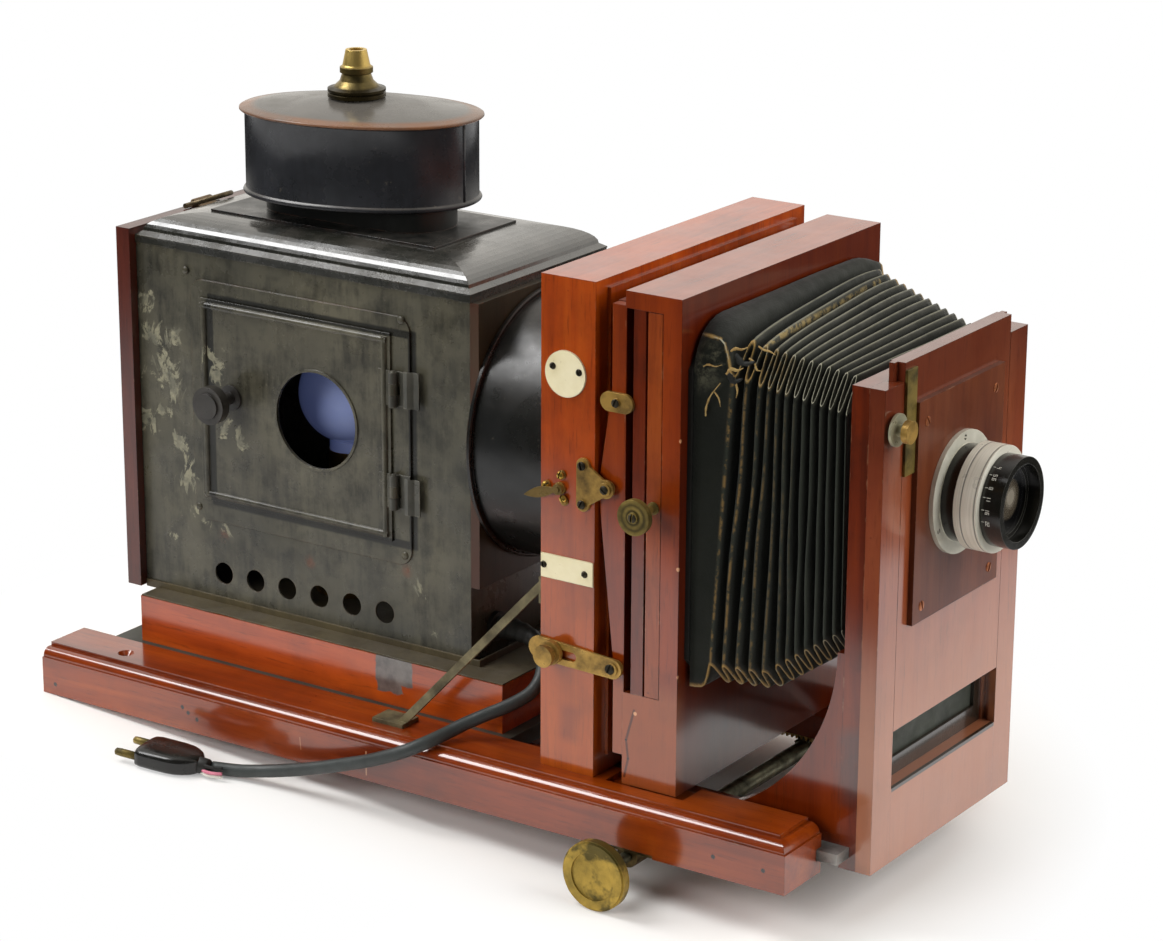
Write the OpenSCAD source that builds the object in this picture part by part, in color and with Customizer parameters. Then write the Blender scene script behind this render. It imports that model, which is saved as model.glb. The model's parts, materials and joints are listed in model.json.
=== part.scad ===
// Quarter plate horizontal bellows enlarger: mahogany, sheet iron and brass.
// Modelled from the rear end of the side rails (x = 0) and their underside (z = 0);
// place() then sets the origin under the middle of the object, at the foot of the knobs.
// +X runs along the optical axis to the lens, -Y is the side with the lamp house door.

/* [Base] */
// Length of the side rails
rail_len = 508; // [500:4:540]
// Width over both rails
base_w = 244; // [240:2:260]
// Width of one rail
rail_w = 37; // [35:1:39]
// Height of a rail
rail_h = 29; // [28:0.5:32]
// Height of the plain outer face below the moulding
rail_face_h = 22; // [19:0.5:22]
// Radius of the moulded bead
bead_r = 5; // [3:0.5:5]
// Thickness of the bed board and the cross board
bed_t = 9; // [7:0.5:9.5]
// Rear end of the bed board
bed_x = 25; // [15:1:35]
// Length of the bed board
bed_len = 285; // [281:1:300]
// Diameter of the hold-down screw holes near the rear ends of the rails
hold_down_d = 5; // [4:0.5:6]
// Distance of the hold-down holes from the rear ends
hold_down_x = 49; // [35:1:60]

/* [Focusing shaft] */
// Distance of the shaft from the rear end of the rails
shaft_x = 409; // [400:1:414]
// Diameter of the shaft in its bearings
shaft_d = 6; // [5:0.5:7]
// Diameter of the sleeve between the pinions
sleeve_d = 10; // [9:0.5:11]
// Depth of the shaft below the rails
shaft_drop = 4; // [4:0.25:5]
// Teeth on each pinion
pinion_teeth = 12; // [10:1:14]
// Tooth pitch along the rack
rack_pitch = 3.14; // [2.9:0.02:3.2]
// Diameter of a focusing knob
knob_d = 38.6; // [34:0.2:44]
// Thickness of a focusing knob
knob_t = 7; // [5:0.5:9]
// Distance over both knobs
knob_span = 302; // [290:2:316]

/* [Condenser frame] */
// Rear face of the condenser frame
cond_x = 344; // [342:1:350]
// Thickness of the condenser frame
cond_t = 34; // [30:1:36]
// Width of the condenser frame
cond_w = 209; // [206:1:214]
// Height of the condenser frame
cond_h = 273; // [268:1:290]
// Radius of the opening in the condenser frame
cond_bore_r = 71; // [60:1:72]
// Height of the optical axis above the underside of the rails
axis_z = 185.5; // [184:0.5:187]
// Outer radius of the condenser drum
drum_r = 75; // [73.5:0.5:78]
// Radius of the rolled rims of the drum
drum_rim_r = 78; // [78:0.5:82]
// Length of the condenser drum
drum_len = 67.7; // [66:0.5:70]
// Thickness of the sheet iron
sheet_t = 1.2; // [1:0.1:1.6]
// Diameter of the condenser lenses
lens_d = 136; // [118:1:138]
// Radius of the round plaque on its side
plaque_r = 12.6; // [10:0.2:14]
// Height of the rectangular plaque
plaque_h = 13.5; // [10:0.5:16]
// Distance from the condenser frame back to the feet of the stays
stay_reach = 93; // [80:1:100]
// Height of the upper ends of the stays
stay_head_z = 128; // [110:1:140]

/* [Negative stage] */
// Distance from the condenser frame to the stage frame
stage_gap = 16.4; // [16:0.2:18]
// Thickness of the stage frame
stage_t = 34; // [32:1:36]
// Width of the stage frame
stage_w = 203; // [200:1:205]
// Top of the stage frame
stage_top_z = 299.5; // [297:0.5:304]
// Width of the light opening through the stage
stage_open_w = 150; // [130:2:156]
// Height of the light opening through the stage
stage_open_h = 160; // [140:2:170]
// Thickness of the sliding negative carrier
carrier_t = 8.8; // [7:0.2:9]
// Height of the negative carrier
carrier_h = 209; // [200:1:209]
// Width of the negative opening
negative_w = 108; // [80:1:110]
// Height of the negative opening
negative_h = 83; // [60:1:100]
// Radius of the tilt pivots
pivot_r = 2; // [1.5:0.1:2.6]
// Height of the tilt pivots
pivot_z = 192.3; // [190:0.5:195]
// Length of the slotted tilt link, from pivot to tip
link_len = 53.5; // [52:0.5:56]
// Width of the tilt link
link_w = 13; // [12:0.5:15]

/* [Front standard] */
// Distance from the stage frame to the front standard
std_gap = 85.6; // [84:0.2:92]
// Width of the front standard
std_w = 154; // [150:1:158]
// Top of the front standard
std_top_z = 263.5; // [260:0.5:270]
// Thickness of its back frame
std_back_t = 10; // [9:0.5:12]
// Thickness of its front lips
lip_t = 9; // [8:0.5:10]
// Width of a front lip
lip_w = 19.5; // [17:0.5:20]
// Top of the lower board
lower_board_z = 43; // [38:1:46]
// Height of the opening that the raised panel leaves
raise_gap = 32; // [26:1:36]
// Top of the rising panel
panel_top_z = 273.4; // [270:0.5:280]
// Thickness of a runner under the front standard
runner_w = 15; // [12:1:16]
// Height of a runner
runner_h = 14; // [13.6:0.2:14.8]
// Length of a runner behind the front standard
runner_len = 224; // [216:2:230]
// Radius of the hollow of the gussets
gusset_r = 110; // [108:1:116]
// Thickness of the gussets
gusset_t = 10; // [8:0.5:12]

/* [Lens] */
// Side of the lens board, across
board_w = 93; // [86:1:96]
// Side of the lens board, upright
board_h = 120; // [110:1:124]
// Height of the lens axis with the panel as set
lens_z = 191.5; // [189:0.5:194]
// Radius of the lens flange
flange_r = 33; // [31:0.5:36]
// Radius of the iris ring
iris_r = 28.5; // [27:0.5:30]
// Radius of the front ring
front_ring_r = 24.5; // [22:0.5:26]
// Length of the lens in front of its flange
lens_len = 34; // [31:0.5:38]
// Radius of the clear opening in the front ring
hood_bore_r = 20.5; // [18:0.5:21]
// Depth of the clear opening in the front ring
hood_depth = 7; // [5:0.5:8]

/* [Lamp house] */
// Rear end of the plinth
plinth_x = 42.6; // [40:0.5:46]
// Length of the plinth
plinth_len = 260; // [258:0.5:262]
// Width of the plinth
plinth_w = 163; // [158:1:166]
// Height of the plinth
plinth_h = 28; // [26:0.5:28]
// Rear end of the lamp house
lamp_x = 34; // [34:0.5:38]
// Length of the lamp house
lamp_len = 236; // [230:0.5:236]
// Width of the lamp house
lamp_w = 130; // [126:1:134]
// Top of the upright walls
eaves_z = 270; // [268:0.5:271]
// Rise of the roof above the walls
roof_h = 14; // [12:0.5:15]
// Length of the flat top plate
top_plate_len = 159; // [156:1:164]
// Width of the flat top plate
top_plate_w = 78; // [76:1:84]
// Middle of the chimney
chimney_x = 147; // [145:0.5:149]
// Length of the chimney cowl
cowl_len = 148; // [144:1:152]
// Width of the chimney cowl
cowl_w = 62; // [60:1:66]
// Height of the chimney cowl
cowl_h = 48; // [44:1:54]
// Gap between the roof plate and the cowl
cowl_gap = 12; // [10:0.5:16]
// Length of the chimney neck
neck_len = 124; // [118:1:130]
// Width of the chimney neck
neck_w = 50; // [46:1:52]
// Overhang of the lid
lid_lip = 3; // [2:0.5:5]
// Width of the door
door_w = 136.5; // [130:0.5:137]
// Height of the door
door_h = 120.5; // [116:0.5:124]
// Left edge of the door
door_x = 81; // [80:0.5:82]
// Lower edge of the door
door_z = 120.5; // [118:0.5:122]
// Radius of the round window
window_r = 28; // [22:0.5:32]
// Diameter of the vent holes
vent_d = 13; // [9:0.5:15]
// Spacing of the vent holes
vent_pitch = 23.4; // [22:0.2:24]
// Thickness of the wooden back board
back_t = 9.8; // [9:0.2:10]
// Radius of the lamp bulb
bulb_r = 30; // [24:0.5:32]

/* [Cord] */
// Diameter of the mains cord
cord_d = 7.4; // [6:0.2:8]

/* [Hidden] */
$fn = 96;
fit = 0.3;          // clearance between pieces that slide or swing past each other
pin_fit = 0.05;     // radial clearance of a pin in its bore
eps = 0.01;
bearing_t = 2;      // plate of a shaft bearing, let into the rail
bearing_half = 18;
half_base = base_w / 2;
rail_in = half_base - rail_w;
moulding_fillet = 2;
moulding_quirk = 1.2;
moulding_step = rail_h - rail_face_h - bead_r;
stand_z = shaft_drop + knob_d / 2;
module_len = rack_pitch / PI;
pinion_r = pinion_teeth * module_len / 2;
bed_z = rail_h - bed_t;
cond_front = cond_x + cond_t;
cond_top = rail_h + cond_h;
stage_x = cond_front + stage_gap;
stage_front = stage_x + stage_t;
stage_side = 3;     // the stage swings this far inside its brackets
bracket_y = max(cond_w / 2, stage_w / 2 + stage_side);
stage_bottom = rail_h - 0.4;
pocket_depth = 3;
pocket_side = 2;
back_frame_t = 9.5;
back_frame_x = stage_x - back_frame_t;
back_frame_z = rail_h + 16;
back_frame_top = stage_top_z - 8;
back_frame_w = stage_w - 15;
cheek_t = 6;
cheek_nose = cond_front + 0.9;
pivot_x = stage_x - 8.9;
slot_x = stage_x + 0.6;
leaf_x = stage_x + 5;
leaf_t = 7.5;
carrier_x = leaf_x + leaf_t + 1.2;
slot_end_x = carrier_x + carrier_t + fit;
carrier_z = axis_z - carrier_h / 2;
slot_z = carrier_z - fit;
slot_h = carrier_h + 2 * fit;
carrier_inset = 12;
carrier_len = stage_w - carrier_inset;
std_x = stage_front + std_gap;
std_front = std_x + std_back_t + lip_t;
std_z = 1;
opening_half = std_w / 2 - lip_w;
panel_bottom_z = lower_board_z + raise_gap;
tongue_depth = 3.5;
panel_tongue_t = 3;
board_proud = 3;
board_x = std_front + board_proud;
flange_t = 2.5;
flange_x = board_x + flange_t;
lens_front = flange_x + lens_len;
runner_y = std_w / 2 - runner_w;
runner_z = 5;
runner_x = std_x - runner_len;
rack_root_z = runner_z;
rack_line_z = pinion_r - shaft_drop;
tooth_add = 0.8 * module_len;
pinion_y = runner_y + runner_w / 2;
pinion_w = 9;
tongue_in = 4.5;    // the steel tongue reaches this far into its groove in the rail
tongue_w = rail_in - std_w / 2 + tongue_in;
tongue_h = 6;
tongue_z = runner_z + 3;
lamp_end = lamp_x + lamp_len;
half_lamp = lamp_w / 2;
plinth_top = rail_h + plinth_h;
tray_t = sheet_t;
wall_z = plinth_top + tray_t;
roof_top = eaves_z + roof_h;
light_way_r = 62;         // round opening from the lamp house to the condenser
front_board_t = 5.8;
front_board_drop = 82.5;  // lower edge of the front board, below the optical axis
skirt_h = 4;              // folded edge of the roof, down over the walls
front_board_z = axis_z - front_board_drop;
front_board_h = eaves_z - skirt_h - front_board_z;
frame_skin = sheet_t;
door_y = half_lamp + frame_skin + 0.2;
door_t = sheet_t;
hinge_r = 2.6;
hinge_pin_r = 1.3;
hinge_x = door_x + door_w + 3;
hinge_y = half_lamp + frame_skin + hinge_r + 0.4;
back_x = lamp_x - 0.2 - back_t;
back_half_w = half_lamp + 6;
back_top_z = eaves_z + 5;
ring_x = back_x + back_t / 2;
cowl_z = roof_top + sheet_t + cowl_gap;
lid_z = cowl_z + cowl_h;
lid_rise = 7;
lid_t = 1.5;
gland_z = lid_z + lid_t + lid_rise;
mid_x = lens_front / 2;
tilt = atan(stand_z / shaft_x);
cord_r = cord_d / 2;
cord_exit_y = -42;
cord_exit_z = 74;
// Route of the cord, from the lamp house to the plug
cord_route = [
    [273, -42, 74], [284, -42, 74], [295, -44, 73.2], [305, -49, 70.5], [312, -56, 65],
    [315.5, -64, 58.5], [315, -72, 53.2], [311, -79, 49.5], [305.5, -86, 46.2], [298, -92.5, 42.4],
    [290, -99, 38], [284.5, -107, 34.4], [281, -116, 32.4], [277, -124, 30.4], [270, -129.6, 27],
    [260, -132, 22.6], [248, -132.8, 17.6], [234, -133.2, 12.6], [220, -133.8, 7.8],
    [206, -134.8, 3.6], [192, -136.4, 0], [178, -139, -2.8], [164, -142.6, -4.6], [150, -147.6, -4.4]
];
plug_pos = [124, -154.5];
plug_turn = 8;

// ---------- shared shapes ----------
module place() {
    translate([-mid_x, 0, stand_z]) children();
}
module both_sides() {
    children();
    mirror([0, 1, 0]) children();
}
// A cylinder along X, from x0 to x1
module rod_x(r, x0, x1, y = 0, z = 0) {
    translate([x0, y, z]) rotate([0, 90, 0]) cylinder(r = r, h = x1 - x0);
}
// A cylinder along Y, from y0 to y1
module rod_y(r, y0, y1, x = 0, z = 0) {
    translate([x, y1, z]) rotate([90, 0, 0]) cylinder(r = r, h = y1 - y0);
}
module box(x0, x1, y0, y1, z0, z1) {
    translate([x0, y0, z0]) cube([x1 - x0, y1 - y0, z1 - z0]);
}
// A flat plate with round ends along X, drawn in the XY plane
module stadium(len, wid) {
    translate([-(len - wid) / 2, -wid / 2]) square([len - wid, wid]);
    for (s = [-1, 1]) translate([s * (len - wid) / 2, 0]) circle(d = wid);
}
module stadium_tube(len, wid, h, t) {
    linear_extrude(h) difference() {
        stadium(len, wid);
        stadium(len - 2 * t, wid - 2 * t);
    }
}
// A plate in the XZ plane, with its front face at y = -face and its back t behind it
module plate_y(face, t) {
    translate([0, -face + t, 0]) rotate([90, 0, 0]) linear_extrude(t) children();
}

// ---------- base ----------
// Half section of a rail: u runs inward from the outer face
module rail_section(depth) {
    square([depth, rail_face_h]);
    translate([moulding_quirk + bead_r, 0]) square([depth - moulding_quirk - bead_r, rail_face_h + bead_r]);
    translate([moulding_quirk + bead_r, rail_face_h]) intersection() {
        circle(r = bead_r);
        translate([-bead_r, 0]) square([bead_r, bead_r]);
    }
    translate([moulding_quirk + bead_r + moulding_fillet, 0])
        square([depth - moulding_quirk - bead_r - moulding_fillet, rail_h]);
}
module rail() {
    color("#7a2f1c") difference() {
        intersection() {
            translate([0, -half_base, 0]) rotate([90, 0, 90]) linear_extrude(rail_len) rail_section(rail_w);
            translate([rail_len, -half_base, 0]) rotate([90, 0, 180]) linear_extrude(half_base)
                rail_section(rail_len);
        }
        // groove for the steel tongue of the sliding front
        box(runner_x - 40, rail_len + 1, -rail_in - tongue_in - 0.5, -rail_in + 1,
            tongue_z - fit, tongue_z + tongue_h + fit);
        // housing for the plate of the shaft bearing
        box(shaft_x - bearing_half - fit, shaft_x + bearing_half + fit, -half_base - 1, -rail_in + 1,
            -1, bearing_t);
        // shallow seat that the swinging stage dips into
        box(stage_x - 9, stage_front + 6, -stage_w / 2 - pocket_side, -rail_in + 1,
            rail_h - pocket_depth, rail_h + 1);
        hold_down_hole();
    }
}
module hold_down_hole() {
    translate([hold_down_x, -rail_in - rail_w / 2, -1]) cylinder(d = hold_down_d, h = rail_h + 2);
    translate([hold_down_x, -rail_in - rail_w / 2, rail_h - 2.5])
        cylinder(d1 = hold_down_d, d2 = hold_down_d + 5, h = 2.6);
}
module rail_near() { rail(); }
module rail_far() { mirror([0, 1, 0]) rail(); }
module bed_board() {
    color("#2b2a22") box(bed_x, bed_x + bed_len, -rail_in, rail_in, bed_z, rail_h);
}
module cross_board() {
    color("#2b2a22") box(cond_x - 14, stage_x - 3, -rail_in, rail_in, bed_z, rail_h - 1);
}
// Flat iron stays from the rail tops up to the back of the condenser frame
module stay() {
    bar_w = 4.6;
    bar_t = 2.4;
    foot_w = 15;
    foot_len = 19;
    foot_end = cond_x - stay_reach;
    ang = atan((stay_head_z - rail_h) / stay_reach);
    y0 = -half_base + 15;
    box(foot_end - foot_len, foot_end + 2, y0, y0 + foot_w, rail_h, rail_h + bar_t);
    intersection() {
        translate([foot_end, y0 + 4, rail_h]) rotate([0, -ang, 0])
            translate([-10, 0, 0]) cube([stay_reach / cos(ang) + 20, bar_t, bar_w]);
        box(foot_end - 4, cond_x - 2, y0, y0 + foot_w, rail_h, cond_top);
    }
    box(cond_x - bar_t, cond_x, y0 + 4, y0 + 4 + foot_w, stay_head_z - 8, stay_head_z + 7);
}
module stays() { color("#8d8468") both_sides() stay(); }
module shaft_bearings() {
    color("#3a352c") both_sides() difference() {
        union() {
            box(shaft_x - bearing_half, shaft_x + bearing_half, -half_base + 1, -rail_in - 1, 0, bearing_t);
            rod_y(shaft_d / 2 + 3.4, -half_base + 4, -rail_in - 3, shaft_x, -shaft_drop);
        }
        rod_y(shaft_d / 2 + pin_fit, -half_base, -rail_in, shaft_x, -shaft_drop);
        box(shaft_x - bearing_half, shaft_x + bearing_half, -half_base, -rail_in, bearing_t, rail_h);
    }
}

// ---------- focusing shaft ----------
module focus_shaft() {
    half = knob_span / 2 - knob_t;
    sleeve_half = pinion_y - pinion_w / 2;
    color("#4a4a38") translate([shaft_x, 0, -shaft_drop]) {
        rod_y(shaft_d / 2, -half, half);
        rod_y(sleeve_d / 2, -sleeve_half, sleeve_half);
        both_sides() translate([0, -pinion_y + pinion_w / 2, 0]) rotate([90, 0, 0])
            linear_extrude(pinion_w) pinion_outline();
        both_sides() rod_y(shaft_d / 2 + 2, -half, -half + 8);
    }
}
// Straight sided teeth on a round core, one tooth pointing down into a rack gap
module pinion_outline() {
    root_r = pinion_r - 1.1 * module_len;
    tip_r = pinion_r + tooth_add;
    pitch_w = 0.36 * rack_pitch;
    circle(r = root_r);
    for (i = [0 : pinion_teeth - 1]) rotate(90 + i * 360 / pinion_teeth)
        polygon([[root_r - 1, -pitch_w * 0.62], [pinion_r, -pitch_w / 2], [tip_r, -pitch_w * 0.24],
                 [tip_r, pitch_w * 0.24], [pinion_r, pitch_w / 2], [root_r - 1, pitch_w * 0.62]]);
}
module focus_knobs() {
    face = knob_span / 2;
    groove = 0.9;
    color("#b58b3a") both_sides() difference() {
        union() {
            rod_y(knob_d / 2 - 1, -face, -face + knob_t, shaft_x, -shaft_drop);
            rod_y(knob_d / 2, -face + 1, -face + knob_t - 1, shaft_x, -shaft_drop);
            rod_y(shaft_d / 2 + 4, -face + knob_t - 1, -face + knob_t + 6, shaft_x, -shaft_drop);
        }
        rod_y(shaft_d / 2, -face + knob_t, -face + knob_t + 7, shaft_x, -shaft_drop);
        rod_y(shaft_d / 2 + 2, -face + knob_t, -face + knob_t + 9, shaft_x, -shaft_drop);
        rod_y(knob_d / 2 - 6, -face - 1, -face + groove, shaft_x, -shaft_drop);
    }
}

// ---------- condenser ----------
module condenser_frame() {
    half = cond_w / 2;
    color("#8a3a24") difference() {
        union() {
            box(cond_x, cond_front, -half, half, rail_h, cond_top);
            box(cond_front, cond_front + 2, -half + 11, half - 11, rail_h + 10, cond_top - 5);
        }
        rod_x(cond_bore_r, cond_x - 1, cond_front + 3, 0, axis_z);
    }
}
module condenser_drum() {
    rear = cond_x - drum_len;
    color("#1d1f1f") translate([0, 0, axis_z]) rotate([0, 90, 0]) rotate_extrude(convexity = 6) {
        translate([drum_r - sheet_t, rear]) square([sheet_t, drum_len]);
        translate([drum_r - sheet_t, rear]) square([drum_rim_r - drum_r + sheet_t, 2]);
        translate([drum_rim_r - 1.3, rear + 1.3]) circle(r = 1.3);
        translate([drum_r - sheet_t, cond_x - 2]) square([drum_rim_r - drum_r + sheet_t, 2]);
    }
}
// Turned ring that holds the two lenses inside the condenser frame
module condenser_cell() {
    color("#5c5a52") translate([0, 0, axis_z]) rotate([0, 90, 0]) rotate_extrude(convexity = 6) {
        inner_r = lens_d / 2 + pin_fit;
        translate([inner_r, cond_x + 2]) square([cond_bore_r - inner_r, cond_t - 4]);
        translate([inner_r - 2.5, cond_x + cond_t / 2 - 1]) square([3, 2]);
    }
}
// Two plano-convex lenses with their curved faces towards each other
module condenser_lenses() {
    edge = 3;
    dome = 10;
    lens_r = lens_d / 2;
    ball_r = (lens_r * lens_r + dome * dome) / (2 * dome);
    middle = cond_x + cond_t / 2;
    color("#cfe0e4", 0.5) for (s = [-1, 1]) translate([middle, 0, axis_z]) rotate([0, s * 90, 0])
        translate([0, 0, dome + 1.5]) rotate_extrude() {
            square([lens_r, edge - 1]);
            intersection() {
                translate([0, ball_r - dome]) circle(r = ball_r, $fn = 720);
                translate([0, -dome]) square([lens_r, dome]);
            }
        }
}
module plaques() {
    face = cond_w / 2;
    round_x = cond_x + cond_t / 2 - 1.3;
    round_z = cond_top - 51.7;
    plate_z = axis_z - 49;
    edge = 0.5;
    color("#e3d9ba") {
        rod_y(plaque_r, -face - 1, -face, round_x, round_z);
        box(cond_x + edge, cond_front - edge, -face - 0.8, -face, plate_z, plate_z + plaque_h);
    }
}
// Three lobed brass plates that carry the tilt pivots of the stage. They lie on the condenser
// frame, and stand off from it on their screws where a wider stage has to swing inside them.
module pivot_brackets() {
    face = bracket_y;
    lobe = 4;
    lug_x = cond_front - 6.6;
    pin_in = stage_w / 2 - cheek_t;
    color("#b58b3a") both_sides() {
        plate_y(face + 1.6, 1.6) {
            for (s = [-1, 1]) translate([lug_x, pivot_z + s * 10.6]) circle(r = lobe);
            translate([pivot_x, pivot_z]) circle(r = lobe + 1);
            polygon([[lug_x - lobe, pivot_z - 10.6], [lug_x - lobe, pivot_z + 10.6],
                     [lug_x + lobe, pivot_z + 10.6], [pivot_x, pivot_z + lobe],
                     [pivot_x, pivot_z - lobe], [lug_x + lobe, pivot_z - 10.6]]);
        }
        rod_y(pivot_r, -face, -pin_in + 1, pivot_x, pivot_z);
        rod_y(pivot_r + 1.6, -face - 2.8, -face - 1.6, pivot_x, pivot_z);
        for (s = [-1, 1]) rod_y(2.2, -face - 2.6, -cond_w / 2, lug_x, pivot_z + s * 10.6);
        rod_y(pivot_r + 1.5, -face, -stage_w / 2 - fit, pivot_x, pivot_z);
    }
}
catch_x = cond_x + 12.5;
catch_z = pivot_z - 4.8;
module catch_plate() {
    face = cond_w / 2;
    color("#b58b3a") {
        rod_y(3.4, -face - 1.4, -face, catch_x, catch_z);
        for (p = [[-8.5, 0.4], [1, 7.6], [2.6, -6.6]]) {
            rod_y(2.5, -face - 0.8, -face, catch_x + p[0], catch_z + p[1]);
            rod_y(1.9, -face - 1.6, -face - 0.8, catch_x + p[0], catch_z + p[1]);
        }
    }
}
// Small leaf shaped thumb lever
module catch_lever() {
    face = cond_w / 2 + 3.5;
    leaf_len = 22;
    color("#b58b3a") translate([catch_x, 0, catch_z]) rotate([0, -17, 0]) {
        plate_y(face, 1.4) {
            circle(r = 3);
            intersection() {
                translate([-leaf_len / 2, -21.2]) circle(r = 24);
                translate([-leaf_len / 2, 21.2]) circle(r = 24);
            }
        }
        rod_y(1.6, -face - 1, -face + 2.1, 0, 0);
    }
}
clamp_x = cond_front - 25;
clamp_drop = 89.6;  // clamp screw of the tilt link, below the optical axis
clamp_z = axis_z - clamp_drop;
module clamp_screw() {
    out = bracket_y + 1.9 + fit;
    color("#c09a4a") translate([clamp_x, 0, clamp_z]) {
        rod_y(2, -out - 1, -cond_w / 2, 0, 0);
        rod_y(6.6, -out - 3, -out, 0, 0);
        rod_y(4.2, -out - 6.5, -out - 3, 0, 0);
        rod_y(6, -out - 9.5, -out - 6.5, 0, 0);
    }
}

// ---------- negative stage ----------
module stage_frame() {
    half = stage_w / 2;
    color("#8a3a24") difference() {
        box(stage_x, stage_front, -half, half, stage_bottom, stage_top_z);
        // light opening
        box(stage_x - 1, stage_front + 1, -stage_open_w / 2, stage_open_w / 2,
            axis_z - stage_open_h / 2, axis_z + stage_open_h / 2);
        // side slot for the leaf and the carrier
        box(slot_x, slot_end_x, -half - 1, -half + carrier_len + 2, slot_z, slot_z + slot_h);
    }
}
module stage_back() {
    half = back_frame_w / 2;
    color("#5f2413") difference() {
        box(back_frame_x, stage_x, -half, half, back_frame_z, back_frame_top);
        box(back_frame_x - 1, stage_x + 1, -stage_open_w / 2, stage_open_w / 2,
            axis_z - stage_open_h / 2, axis_z + stage_open_h / 2);
    }
}
// Boards at the sides, tapered both ways from a nose at the tilt pivot
module stage_cheeks() {
    half = stage_w / 2;
    upper_x = stage_x - 8;
    lower_x = stage_x - 6;
    color("#94432c") both_sides() difference() {
        plate_y(half, cheek_t)
            polygon([[stage_x, back_frame_z], [lower_x, back_frame_z], [lower_x, axis_z - 90],
                     [cheek_nose, pivot_z - 7], [cheek_nose, pivot_z + 3], [upper_x, pivot_z + 54],
                     [upper_x, back_frame_top], [stage_x, back_frame_top]]);
        rod_y(pivot_r + pin_fit, -half - 1, -half + cheek_t + 1, pivot_x, pivot_z);
    }
}
module leaf_outline(x, t, depth, z0, z1) {
    half = stage_w / 2;
    difference() {
        box(x, x + t, -half, -half + depth, z0, z1);
        box(x - 1, x + t + 1, -negative_w / 2, negative_w / 2,
            axis_z - negative_h / 2, axis_z + negative_h / 2);
    }
}
module fixed_leaf() { color("#94432c") leaf_outline(leaf_x, leaf_t, carrier_len, slot_z, slot_z + slot_h); }
module carrier() {
    color("#8e3c26") leaf_outline(carrier_x, carrier_t, carrier_len, carrier_z, carrier_z + carrier_h);
}
module carrier_knob() {
    half = stage_w / 2;
    knob_x = carrier_x + carrier_t / 2;
    color("#6d6238") {
        rod_y(3.4, -half - 1.2, -half, knob_x, axis_z + 0.5);
        rod_y(2.3, -half - 16, -half, knob_x, axis_z + 0.5);
        rod_y(9.6, -half - 19.5, -half - 16, knob_x, axis_z + 0.5);
        rod_y(3, -half - 20.3, -half - 19.5, knob_x, axis_z + 0.5);
    }
}
button_x = stage_x - 4;
button_z = axis_z + 54;
module turn_button() {
    half = stage_w / 2;
    color("#b58b3a") translate([button_x, 0, button_z]) {
        plate_y(half + fit + 1.8, 1.8) stadium(20, 10.5);
        rod_y(2.4, -half - fit - 2.9, -half - fit - 1.8, 0, 0);
        rod_y(1.6, -half - fit - 1.8, -half, 0, 0);
    }
}
link_x = stage_x - 3.4;
link_z = clamp_z - 1.9;
link_angle = atan((clamp_z - link_z) / (link_x - clamp_x));
module tilt_link() {
    inner = bracket_y + fit;
    tip = -link_len + link_w / 2;
    slot_mid = clamp_x - link_x;
    slot_w = 5.2;
    color("#b58b3a") translate([link_x, 0, link_z]) rotate([0, link_angle, 0]) difference() {
        union() {
            plate_y(inner + 1.6, 1.6) {
                circle(d = link_w - 2);
                translate([tip, 0]) circle(d = link_w);
                polygon([[0, link_w / 2 - 1], [tip, link_w / 2], [tip, -link_w / 2], [0, 1 - link_w / 2]]);
            }
            rod_y(pivot_r + 1.4, -inner - 2.5, -inner - 1.6, 0, 0);
            rod_y(pivot_r + 1.8, -inner, -stage_w / 2, 0, 0);
        }
        translate([slot_mid + 3, -inner, 0]) rotate([90, 0, 0]) translate([0, 0, -1])
            linear_extrude(4) stadium(24, slot_w);
    }
}

// ---------- bellows ----------
bellows_flange_t = 2.5;
flange_side = stage_open_w / 2 + 20;
flange_up = stage_open_h / 2 + 18.5;
flange_drop = 2.5;     // middle of the flange, below the optical axis
lens_way_half = 34;    // opening behind the lens, tall enough for its lowest place
lens_way_low = lens_z - raise_gap - lens_way_half;
module bellows_flange() {
    cut = 20;
    color("#1a1a19") translate([stage_front, 0, axis_z - flange_drop]) rotate([90, 0, 90])
        linear_extrude(bellows_flange_t) difference() {
            polygon([[-flange_side, -flange_up + cut], [-flange_side + cut, -flange_up],
                     [flange_side - cut, -flange_up], [flange_side, -flange_up + cut],
                     [flange_side, flange_up - cut], [flange_side - cut, flange_up],
                     [-flange_side + cut, flange_up], [-flange_side, flange_up - cut]]);
            square([stage_open_w + 4, stage_open_h + 4], center = true);
        }
}
pleats = 15;
pleat_depth = 6;
bellows_wall = 7.5;
bellows_margin = 5;  // the cloth stops this far inside the edge of its flange and of the front
// Position along X, half width, lower and upper edge of each end of the bellows
bellows_rear = [stage_front + bellows_flange_t, flange_side - bellows_margin,
    axis_z - flange_drop - flange_up + bellows_margin, axis_z - flange_drop + flange_up - bellows_margin];
bellows_ahead = [std_x - fit, std_w / 2 - bellows_margin, lens_way_low, std_top_z - 2];
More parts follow.
